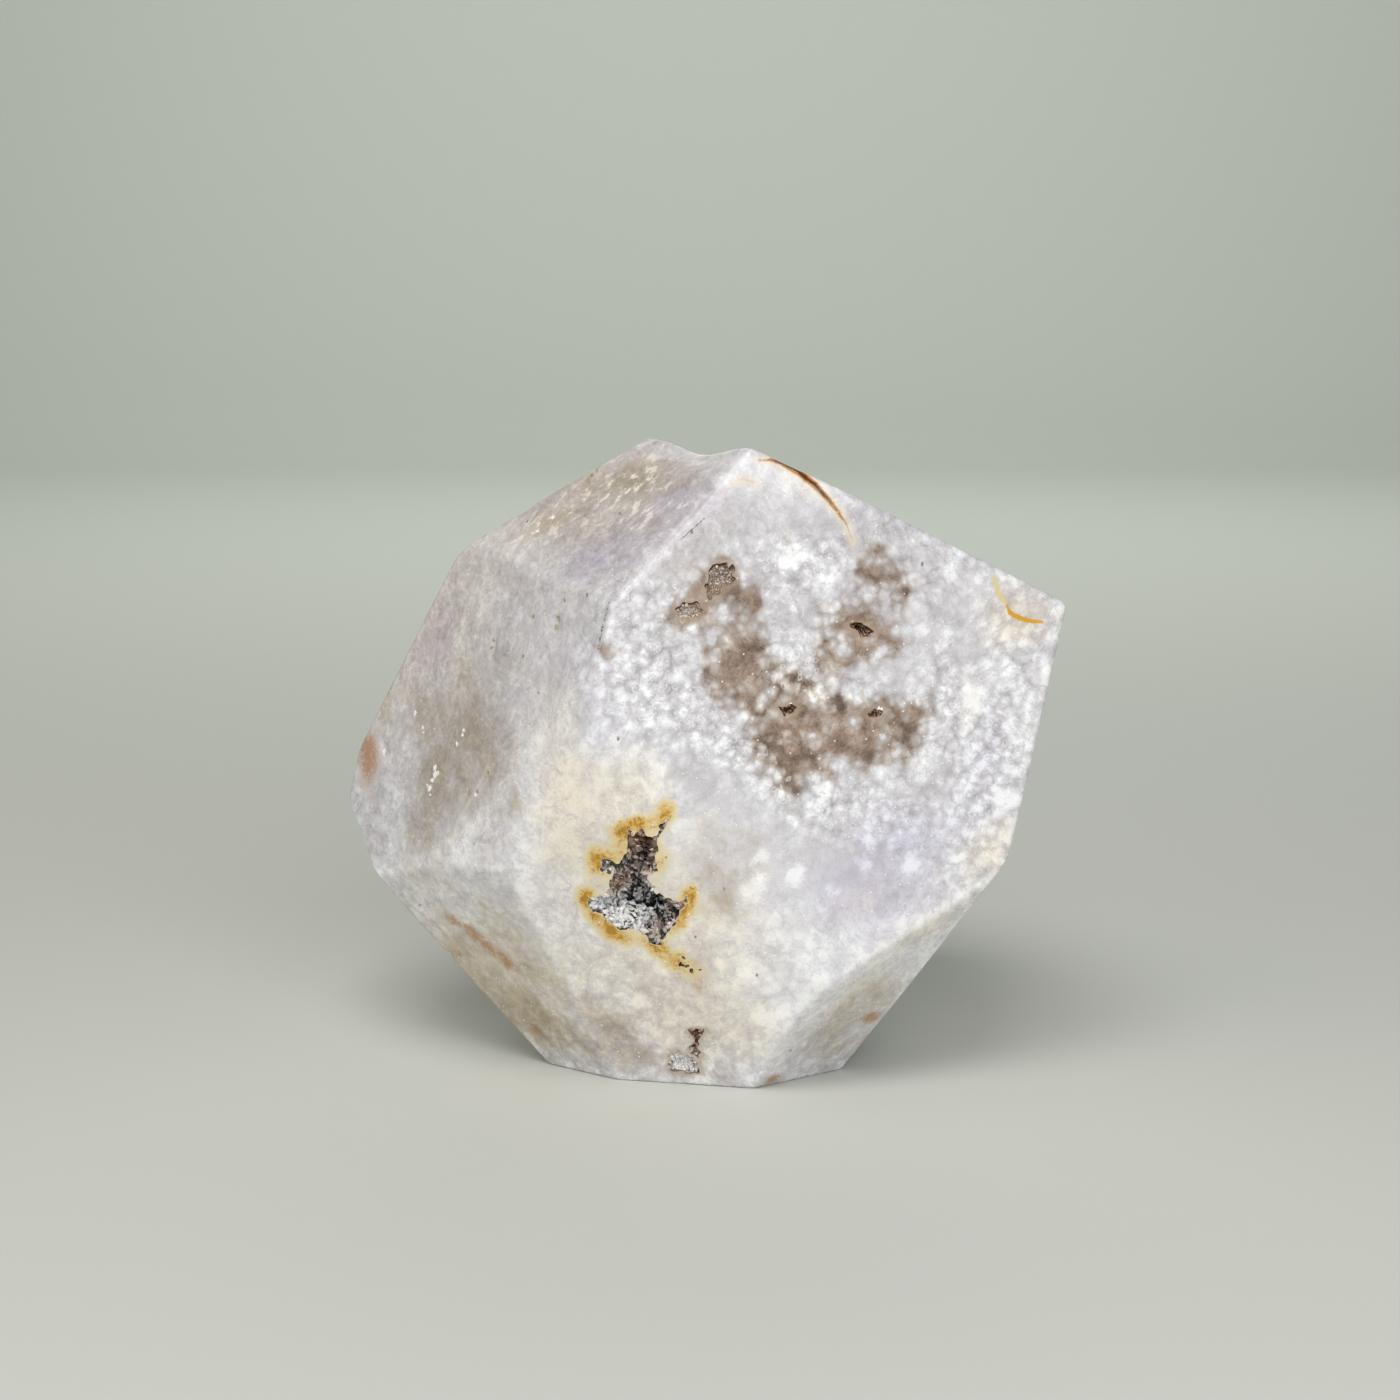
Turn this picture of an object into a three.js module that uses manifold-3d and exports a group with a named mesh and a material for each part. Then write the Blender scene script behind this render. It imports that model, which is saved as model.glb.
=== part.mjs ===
// Flower agate freeform: a fist-sized lump of flower agate that was ground by hand into flat facets,
// rounded at its edges and polished. The wheel opened hollows in the stone, and each is lined with a
// crust of quartz crystals. It stands on its ground foot.
// Millimetres, +Z up. The front facet faces -Y, and the origin is under the middle of the stone.
import * as THREE from 'three';
import { mergeVertices } from 'three/addons/utils/BufferGeometryUtils.js';
import Module from 'manifold-3d';

const wasm = await Module();
wasm.setup();

const heart = new THREE.Vector3(2.1, -5.37, 34);   // the point inside that every facet is measured from
const roughSize = 110;                          // the lump before grinding
const wheelSize = 200;                          // the flat that takes everything past a facet
const edgeRadius = 1.3;                         // how far the polishing rounded an edge
const sharpestKept = 9;                         // degrees of fold that the polishing left alone
const gap = 0.3;                                // clear space between the stone and a crust
const lining = 0.5;                             // thickness of a crust under its crystals
const recess = 0.1;                             // a crust's rim lies this far below the polished face
const leastHollowed = 1.6;                      // a narrower bowl is filled by its crust
const elbowRoom = 2.2;                          // crystals stand this many thicknesses apart
const shallowest = 0.7;                         // crystals start this far below the facet
const sizeSpread = 0.25;                        // share by which crystals differ in size and lean
const unevenness = 0.13;                        // how far a hollow's wall strays from a smooth bowl
const wideBowl = 2.5;                           // a bowl from this radius up gets finer faces

// turn goes from the front towards the right, rise from level upwards, in degrees. reach is in mm.
const facets = {
  front: { turn: 14, rise: 0, reach: 22 },
  frontRidge: { turn: 2, rise: -10, reach: 23.6 },
  brow: { turn: -12, rise: -19, reach: 24.5 },
  browRidge: { turn: -24, rise: -9, reach: 26.8 },
  cheek: { turn: -37, rise: 1, reach: 28 },
  left: { turn: -47, rise: 10, reach: 28.5 },
  chin: { turn: -36, rise: -25, reach: 29.2 },
  shoulder: { turn: -41, rise: 38, reach: 33.5 },
  toe: { turn: 35, rise: -32, reach: 30.5 },
  flank: { turn: 95, rise: -13, reach: 31 },
  heel: { turn: 90, rise: -34, reach: 30.5 },
  crown: { turn: 139, rise: 58.5, reach: 24.3 },
  crownRight: { turn: 122, rise: 42, reach: 31.8 },
  nape: { turn: -138, rise: 54, reach: 27.6 },
  leftTop: { turn: -95, rise: 29, reach: 35.5 },
  leftEdge: { turn: -92, rise: 13, reach: 39.4 },
  leftLow: { turn: -120, rise: -39, reach: 32 },
  back: { turn: 168, rise: 8, reach: 32 },
  backTop: { turn: 170, rise: 50, reach: 23.6 },
  backRight: { turn: 126, rise: -2, reach: 36 },
  backLeft: { turn: -140, rise: 5, reach: 35 },
  backLow: { turn: 180, rise: -38, reach: 32.5 },
  backRightLow: { turn: 138, rise: -40, reach: 33.5 },
  base: { turn: 0, rise: -90, reach: 34 },
};

// A nick in the crest between the shoulder and the crown, where the stone was always a little low.
const nick = { facet: 'shoulder', across: 10.5, up: 21, sink: -0.3, wide: 5, tall: 2.7, deep: 2.4 };

// Each hollow is a cluster of bowls: x across and y up on its facet, sink below it, radii in mm.
const hollows = [
  {
    node: 'main_druse', facet: 'brow', across: -4, up: -2.5,
    crystals: { each: 9, long: 1.1, thick: 0.55 }, colour: '#b9aea2',
    bowls: [
      { x: 2.6, y: 6.8, sink: 0, wide: 1.5, tall: 1.5, deep: 2.6 },
      { x: 1.1, y: 5.4, sink: 0.4, wide: 1.9, tall: 2.7, deep: 5 },
      { x: -1.6, y: 3.1, sink: 0.3, wide: 2.5, tall: 1.8, deep: 4.4 },
      { x: -0.2, y: 0.8, sink: 0.6, wide: 3, tall: 2.9, deep: 6.2 },
      { x: -1, y: -2.4, sink: 2, wide: 5.2, tall: 4.1, deep: 7.2 },
      { x: 2.4, y: -3.1, sink: 0.8, wide: 3.2, tall: 2.9, deep: 6 },
      { x: 1.2, y: -5.6, sink: 0.3, wide: 2.2, tall: 1.9, deep: 4 },
    ],
  },
  {
    node: 'low_druse', facet: 'brow', across: 0.5, up: -11.6,
    crystals: { each: 6, long: 0.9, thick: 0.4 }, colour: '#9c7f62',
    bowls: [{ x: 0, y: 0, sink: 0, wide: 2, tall: 2.2, deep: 2.8 }],
  },
  {
    node: 'foot_druse', facet: 'brow', across: 0.2, up: -23,
    crystals: { each: 6, long: 1, thick: 0.45 }, colour: '#cbbfb1',
    bowls: [
      { x: 0.7, y: 1.2, sink: 0.1, wide: 1.7, tall: 2.2, deep: 3 },
      { x: -1.1, y: -1.2, sink: 0, wide: 2, tall: 1.9, deep: 2.3 },
    ],
  },
  {
    node: 'upper_left_druse', facet: 'front', across: -6.4, up: 21.3,
    crystals: { each: 6, long: 0.9, thick: 0.4 }, colour: '#a58e78',
    bowls: [
      { x: 1, y: 1.3, sink: 0, wide: 2.1, tall: 2.2, deep: 2.5 },
      { x: -1.3, y: -1.3, sink: 0, wide: 1.9, tall: 1.6, deep: 2.1 },
    ],
  },
  {
    node: 'upper_right_druse', facet: 'front', across: 9.8, up: 17.1,
    crystals: { each: 6, long: 0.9, thick: 0.4 }, colour: '#8f735a',
    bowls: [{ x: 0, y: 0, sink: 0, wide: 2.4, tall: 1.7, deep: 2.6 }],
  },
  {
    node: 'middle_druse', facet: 'front', across: 1.8, up: 8.8,
    crystals: { each: 6, long: 0.9, thick: 0.4 }, colour: '#8f735a',
    bowls: [{ x: 0, y: 0, sink: 0, wide: 1.9, tall: 2.1, deep: 2.7 }],
  },
  {
    node: 'right_druse', facet: 'front', across: 11.3, up: 8.1,
    crystals: { each: 6, long: 0.9, thick: 0.4 }, colour: '#8f735a',
    bowls: [{ x: 0, y: 0, sink: 0, wide: 2.5, tall: 1.7, deep: 2.5 }],
  },
  {
    node: 'back_druse', facet: 'back', across: 3.5, up: -7,
    crystals: { each: 6, long: 1.3, thick: 0.55 }, colour: '#b3a394',
    bowls: [
      { x: -1.4, y: 0.9, sink: 0.2, wide: 2.5, tall: 2, deep: 3.2 },
      { x: 1.5, y: -0.8, sink: 0.1, wide: 2, tall: 1.8, deep: 2.8 },
    ],
  },
];

// Solids from three.js geometries, and back.
function toSolid(geometry) {
  const bare = geometry.clone();
  bare.deleteAttribute('normal');
  bare.deleteAttribute('uv');
  const closed = mergeVertices(bare, 1e-4);
  return new wasm.Manifold(new wasm.Mesh({
    numProp: 3,
    vertProperties: new Float32Array(closed.attributes.position.array),
    triVerts: new Uint32Array(closed.index.array),
  }));
}

function toGeometry(solid) {
  const mesh = solid.getMesh();
  const geometry = new THREE.BufferGeometry();
  geometry.setAttribute('position', new THREE.BufferAttribute(mesh.vertProperties, 3));
  geometry.setIndex(new THREE.BufferAttribute(mesh.triVerts, 1));
  geometry.computeVertexNormals();
  return geometry;
}

function joined(solids) {
  return solids.reduce((whole, solid) => whole.add(solid));
}

// Facet directions, and a frame on a facet: x across, y up, z out of the stone, z = 0 on the facet.
function outward({ turn, rise }) {
  const [t, r] = [turn, rise].map(THREE.MathUtils.degToRad);
  return new THREE.Vector3(Math.sin(t) * Math.cos(r), -Math.cos(t) * Math.cos(r), Math.sin(r));
}

function frameOn({ facet, across, up }) {
  const ground = facets[facet];
  const out = outward(ground);
  const t = THREE.MathUtils.degToRad(ground.turn);
  const side = new THREE.Vector3(Math.cos(t), Math.sin(t), 0);
  const upwards = out.clone().cross(side);
  const place = heart.clone().addScaledVector(out, ground.reach)
    .addScaledVector(side, across).addScaledVector(upwards, up);
  return new THREE.Matrix4().makeBasis(side, upwards, out).setPosition(place);
}

// Grinding takes away all that lies further than reach from the heart along one direction.
function grind(solid, direction, reach) {
  const wheel = new THREE.BoxGeometry(wheelSize, wheelSize, wheelSize);
  wheel.translate(0, 0, wheelSize / 2 + reach);
  wheel.applyQuaternion(new THREE.Quaternion().setFromUnitVectors(new THREE.Vector3(0, 0, 1), direction));
  wheel.translate(heart.x, heart.y, heart.z);
  return solid.subtract(toSolid(wheel));
}

// One entry for each edge between two facets: the two directions and a point on the edge.
function edgesOf(solid) {
  const { vertProperties, triVerts } = solid.getMesh();
  const corner = (i) => new THREE.Vector3().fromArray(vertProperties, 3 * i);
  const waiting = new Map();
  const edges = new Map();
  for (let t = 0; t < triVerts.length; t += 3) {
    const ids = [triVerts[t], triVerts[t + 1], triVerts[t + 2]];
    const [a, b, c] = ids.map(corner);
    const normal = b.clone().sub(a).cross(c.clone().sub(a)).normalize();
    ids.forEach((from, k) => {
      const to = ids[(k + 1) % 3];
      const other = waiting.get(`${to} ${from}`);
      waiting.set(`${from} ${to}`, normal);
      if (!other) return;
      const key = [normal, other].map((n) => n.toArray().map((v) => v.toFixed(2)).join()).sort().join(' ');
      edges.set(key, { one: normal, other, point: corner(from) });
    });
  }
  return [...edges.values()];
}

// Polishing flattens each edge as far as a round of edgeRadius would take it.
function polish(solid) {
  let polished = solid;
  for (const { one, other, point } of edgesOf(solid)) {
    const fold = one.angleTo(other);
    if (THREE.MathUtils.radToDeg(fold) < sharpestKept) continue;
    const direction = one.clone().add(other).normalize();
    const taken = edgeRadius * (1 / Math.cos(fold / 2) - 1);
    polished = grind(polished, direction, point.clone().sub(heart).dot(direction) - taken);
  }
  return polished;
}

// A bowl is an uneven ball, drawn in its facet's frame. shrink makes it smaller all round.
function bowl({ x = 0, y = 0, sink, wide, tall, deep }, shrink = 0) {
  const ball = new THREE.IcosahedronGeometry(1, wide < wideBowl ? 1 : 2);
  ball.deleteAttribute('normal');
  ball.deleteAttribute('uv');
  const geometry = mergeVertices(ball, 1e-4);
  const position = geometry.attributes.position;
  const d = new THREE.Vector3();
  for (let i = 0; i < position.count; i++) {
    d.fromBufferAttribute(position, i);
    const wave = Math.sin(4.1 * d.x + x) * Math.sin(3.7 * d.y + y) + Math.sin(5.3 * d.z + wide);
    const size = 1 + unevenness * wave / 2;
    position.setXYZ(i, x + d.x * (wide * size - shrink), y + d.y * (tall * size - shrink),
      d.z * (deep * size - shrink) - sink);
  }
  return geometry;
}

// A quartz crystal: six flat sides that close in a point, on a root that sits in the lining.
function crystal({ long, thick }) {
  const root = 0.8 * thick;
  const shoulder = 0.45 * long;
  const profile = [[0, -lining / 2], [root, -lining / 2], [thick, shoulder], [0, long]];
  return new THREE.LatheGeometry(profile.map(([r, h]) => new THREE.Vector2(r, h)), 6);
}

// Directions spread evenly over a ball by the golden angle.
function spread(count) {
  const goldenAngle = Math.PI * (3 - Math.sqrt(5));
  return Array.from({ length: count }, (_, i) => {
    const z = 1 - (2 * i + 1) / count;
    const r = Math.sqrt(1 - z * z);
    return new THREE.Vector3(r * Math.cos(goldenAngle * i), r * Math.sin(goldenAngle * i), z);
  });
}

// Crystals stand on the walls of each bowl, below the facet, and lean towards the bowl's middle.
function crystalsIn({ bowls, crystals }) {
  const inner = gap + lining;
  const within = (at, { x, y, sink, wide, tall, deep }) => Math.hypot((at.x - x) / (wide - inner),
    (at.y - y) / (tall - inner), (at.z + sink) / (deep - inner)) < 1;
  const solids = [];
  const taken = [];
  bowls.forEach((here, b) => {
    spread(2 * crystals.each).forEach((d, i) => {
      const foot = new THREE.Vector3(here.x + d.x * (here.wide - inner), here.y + d.y * (here.tall - inner),
        d.z * (here.deep - inner) - here.sink);
      const inTheOpen = bowls.some((other) => other !== here && within(foot, other));
      const crowded = taken.some((place) => place.distanceTo(foot) < elbowRoom * crystals.thick);
      if (inTheOpen || crowded || foot.z > -shallowest) return;
      taken.push(foot);
      const size = 1 - sizeSpread * (1 - Math.sin(7 * i + b));
      const aim = new THREE.Vector3(-d.x, -d.y, -d.z + sizeSpread * Math.sin(3 * i)).normalize();
      const point = crystal({ long: crystals.long * size, thick: crystals.thick * size });
      point.rotateY(i);
      point.applyQuaternion(new THREE.Quaternion().setFromUnitVectors(new THREE.Vector3(0, 1, 0), aim));
      point.translate(foot.x, foot.y, foot.z);
      solids.push(toSolid(point));
    });
  });
  return solids;
}

// A crust lines its hollow and stops at the polished face. It is made in its facet's frame.
function crust(hollow) {
  const { bowls } = hollow;
  const hollowed = bowls.filter(({ wide, tall }) => Math.min(wide, tall) > leastHollowed);
  const outside = joined(bowls.map((one) => toSolid(bowl(one, gap))));
  const inside = joined(hollowed.map((one) => toSolid(bowl(one, gap + lining))));
  const lined = joined([outside.subtract(inside), ...crystalsIn(hollow)]);
  const air = new THREE.BoxGeometry(wheelSize, wheelSize, wheelSize);
  air.translate(0, 0, wheelSize / 2 - recess);
  return lined.intersect(outside).subtract(toSolid(air));
}

function stone() {
  const rough = new THREE.BoxGeometry(roughSize, roughSize, roughSize);
  rough.translate(heart.x, heart.y, heart.z);
  let solid = toSolid(rough);
  for (const facet of Object.values(facets)) solid = grind(solid, outward(facet), facet.reach);
  solid = polish(solid);
  solid = solid.subtract(toSolid(bowl(nick).applyMatrix4(frameOn(nick))));
  for (const hollow of hollows) {
    const bowls = hollow.bowls.map((one) => toSolid(bowl(one).applyMatrix4(frameOn(hollow))));
    solid = solid.subtract(joined(bowls));
  }
  return solid;
}

function meshOf(name, solid, colour, roughness) {
  const material = new THREE.MeshStandardMaterial({ color: colour, roughness, metalness: 0 });
  const mesh = new THREE.Mesh(toGeometry(solid), material);
  mesh.name = name;
  return mesh;
}

const freeform = new THREE.Group();
freeform.add(meshOf('stone', stone(), '#dcd5d3', 0.2));
for (const hollow of hollows) {
  const mesh = meshOf(hollow.node, crust(hollow), hollow.colour, 0.35);
  mesh.applyMatrix4(frameOn(hollow));
  freeform.add(mesh);
}

export default freeform;
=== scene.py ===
# Flower agate freeform: a lump of chalcedony that was ground into flat facets and polished, with
# hollows that are lined with quartz crystals. Sizes are in millimetres until a mesh is made.
import math

import bpy
import numpy as np
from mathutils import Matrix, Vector


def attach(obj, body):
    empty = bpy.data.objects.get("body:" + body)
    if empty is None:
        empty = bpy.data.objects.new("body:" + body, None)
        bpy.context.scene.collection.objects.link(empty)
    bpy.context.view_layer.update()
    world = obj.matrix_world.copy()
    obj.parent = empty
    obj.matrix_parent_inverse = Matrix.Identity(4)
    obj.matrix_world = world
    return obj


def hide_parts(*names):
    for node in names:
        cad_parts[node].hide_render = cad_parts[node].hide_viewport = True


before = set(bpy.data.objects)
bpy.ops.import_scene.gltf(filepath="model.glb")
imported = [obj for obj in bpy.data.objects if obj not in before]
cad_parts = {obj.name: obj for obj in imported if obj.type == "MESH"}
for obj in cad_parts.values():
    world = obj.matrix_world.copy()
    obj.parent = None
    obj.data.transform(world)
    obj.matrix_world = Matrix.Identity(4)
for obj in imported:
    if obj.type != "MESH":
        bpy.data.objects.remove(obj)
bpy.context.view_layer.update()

mm = 0.001
heart = np.array([2.1, -5.37, 34.0])     # the point inside the stone that its facets are measured from
farAway = 9.0                            # stands for any distance that is too far to matter

# Each facet that carries a feature, by the way it faces: its turn from the front to the right and its
# rise, in degrees.
facing = {
    "front": (14, 0), "frontRidge": (2, -10), "brow": (-12, -19), "cheek": (-37, 1), "left": (-47, 10),
    "chin": (-36, -25), "shoulder": (-41, 38), "toe": (35, -32), "flank": (95, -13), "crown": (139, 58.5),
    "nape": (-138, 54), "leftTop": (-95, 29), "leftLow": (-120, -39), "back": (168, 8),
    "backTop": (170, 50), "backRight": (126, -2), "backLeft": (-140, 5), "backLow": (180, -38),
}


def unit(vectors):
    return vectors / np.linalg.norm(vectors, axis=-1, keepdims=True)


def outward(turn, rise):
    t, r = math.radians(turn), math.radians(rise)
    return np.array([math.sin(t) * math.cos(r), -math.cos(t) * math.cos(r), math.sin(r)])


def softNoise(points, size, seed):
    # Smooth random values from -1 to 1 that change over about size.
    side = 32                            # points along the lattice, which then repeats
    lattice = np.random.default_rng(seed).uniform(-1, 1, (side, side, side))
    cell = np.floor(points / size).astype(int)
    part = points / size - cell
    part = part * part * (3 - 2 * part)
    total = np.zeros(len(points))
    for corner in np.ndindex(2, 2, 2):
        weight = np.prod(np.where(np.array(corner) == 1, part, 1 - part), axis=1)
        at = (cell + corner) % side
        total += weight * lattice[at[:, 0], at[:, 1], at[:, 2]]
    return total


def readFacets(node, leastArea, alike=0.99995, level=0.05):
    # The flat faces of a solid: its triangles gathered by plane, the larger planes only.
    polygons = node.data.polygons
    normals, centres = np.zeros(len(polygons) * 3), np.zeros(len(polygons) * 3)
    areas = np.zeros(len(polygons))
    polygons.foreach_get("normal", normals)
    polygons.foreach_get("center", centres)
    polygons.foreach_get("area", areas)
    normals = normals.reshape(-1, 3)
    reaches = ((centres.reshape(-1, 3) / mm - heart) * normals).sum(1)
    waiting = np.ones(len(polygons), bool)
    kept = []
    for first in np.argsort(-areas):
        if waiting[first]:
            same = waiting & (normals @ normals[first] > alike) & (abs(reaches - reaches[first]) < level)
            waiting[same] = False
            if areas[same].sum() / mm ** 2 > leastArea:
                kept.append(first)
    return normals[kept], reaches[kept]


facetNormals, facetReaches = readFacets(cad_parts["stone"], leastArea=20)
print("facets read from the frame:", len(facetReaches))


def facetFrame(name):
    # A facet's foot point and its directions across, up and out.
    turn, rise = facing[name]
    out = outward(turn, rise)
    side = outward(turn + 90, 0)
    foot = heart + out * facetReaches[np.argmax(facetNormals @ out)]
    return foot, side, np.cross(out, side), out


def placeOn(facet, across, up):
    foot, side, upwards, out = facetFrame(facet)
    return foot + side * across + upwards * up


def onFacet(points, facet, across=0, up=0):
    # Points as across, up and out of a place on a facet.
    foot, side, upwards, out = facetFrame(facet)
    moved = points - foot
    return np.stack([moved @ side - across, moved @ upwards - up, moved @ out], axis=1)


def turned(x, y, degrees):
    # Places in a frame that is turned by some degrees.
    c, s = math.cos(math.radians(degrees)), math.sin(math.radians(degrees))
    return x * c + y * s, y * c - x * s


def inBox(x, y, out, wide, tall, thick):
    return (abs(x) < wide) & (abs(y) < tall) & (abs(out) < thick)


def softSpot(x, y, out, wide, tall):
    # 1 in the middle of a spot on a facet, and softly 0 away from it.
    return np.exp(-(x / wide) ** 2 - (y / tall) ** 2 - (out / 6) ** 4)


def alongLine(x, y, start, end):
    # The part of the line from start to end at which a place is nearest to it, and how far it is.
    (ax, ay), (bx, by) = start, end
    part = ((x - ax) * (bx - ax) + (y - ay) * (by - ay)) / ((bx - ax) ** 2 + (by - ay) ** 2)
    part = np.clip(part, 0, 1)
    return part, np.hypot(x - ax - part * (bx - ax), y - ay - part * (by - ay))


# The stone: facets that are slightly domed and wavy, as a hand holds a stone to the wheel, and edges
# that the polishing rounded unevenly.
stoneForm = {
    "edge": 0.085, "edgeVaries": 0.035, "edgeSize": 7,   # softness of the edges and how it varies
    "dome": 1500,                                        # radius of the doming of a facet
    "wave": 0.045, "waveSize": 9,                        # waviness of the polished faces
    "ripple": 0.012, "rippleSize": 2.6,
    "worn": [               # softer stretches of edge: facet, across, up, over, softer
        ("frontRidge", 1, 3, 8, 0.8), ("frontRidge", -1, -10, 8, 0.5), ("brow", 8, -12, 6, 0.3),
        ("brow", -8, 9, 6, 0.35), ("front", -8, 28, 8, 0.3), ("front", 2, 35, 5, 0.15),
        ("back", 10, 6, 9, 0.3), ("nape", 0, -8, 8, 0.25),
    ],
    "dents": [              # facet, across, up, wide, tall, deep
        ("shoulder", 9.6, 20.2, 4.2, 2.4, 1.5), ("shoulder", -13.6, 9.6, 1.5, 1.2, 0.35),
        ("shoulder", -10.9, 10.6, 1.3, 1.1, 0.3), ("shoulder", 3.4, 22.2, 1.4, 1.2, 0.25),
        ("left", -6.9, 9.8, 0.5, 1.3, 0.3), ("left", 2.7, 13.2, 0.8, 1.1, 0.35),
        ("left", -1.3, 13.4, 0.7, 0.5, 0.25), ("left", -24.2, -3.8, 0.9, 0.8, 0.3),
        ("chin", -22.9, -3.9, 0.6, 0.45, 0.3), ("chin", -21.1, -10.3, 0.7, 0.4, 0.3),
        ("chin", -12.2, -19.3, 0.9, 0.8, 0.35), ("nape", 6, 3, 1.6, 0.7, 0.4),
        ("backLow", -7, 6, 1.2, 0.8, 0.4), ("flank", 3, 9, 0.9, 1.4, 0.35), ("crown", -6, -5, 1.1, 0.6, 0.3),
    ],
    # how long the sides of the mesh's triangles are, and how near to a line or an edge they get finer
    "spacing": {"open": 0.9, "finer": 0.58, "edge": 0.45, "dent": 0.22, "line": 0.16, "hair": 0.24,
                "byLine": 0.4, "glint": 0.15},
    "lineReach": 0.4, "byLineReach": 1.2, "edgeReach": 0.9,
    # the facets that show most: facet, across, up, over
    "finer": [("front", 5, 10, 27), ("brow", 0, -6, 17), ("shoulder", 0, 11, 14)],
    # the ball that the mesh starts from, how its sides are split and evened out, and a sharp side's angle
    "ballLevels": 5, "splits": 7, "splitOver": 1.35, "evenings": 3, "sharpFrom": 40,
}

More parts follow.
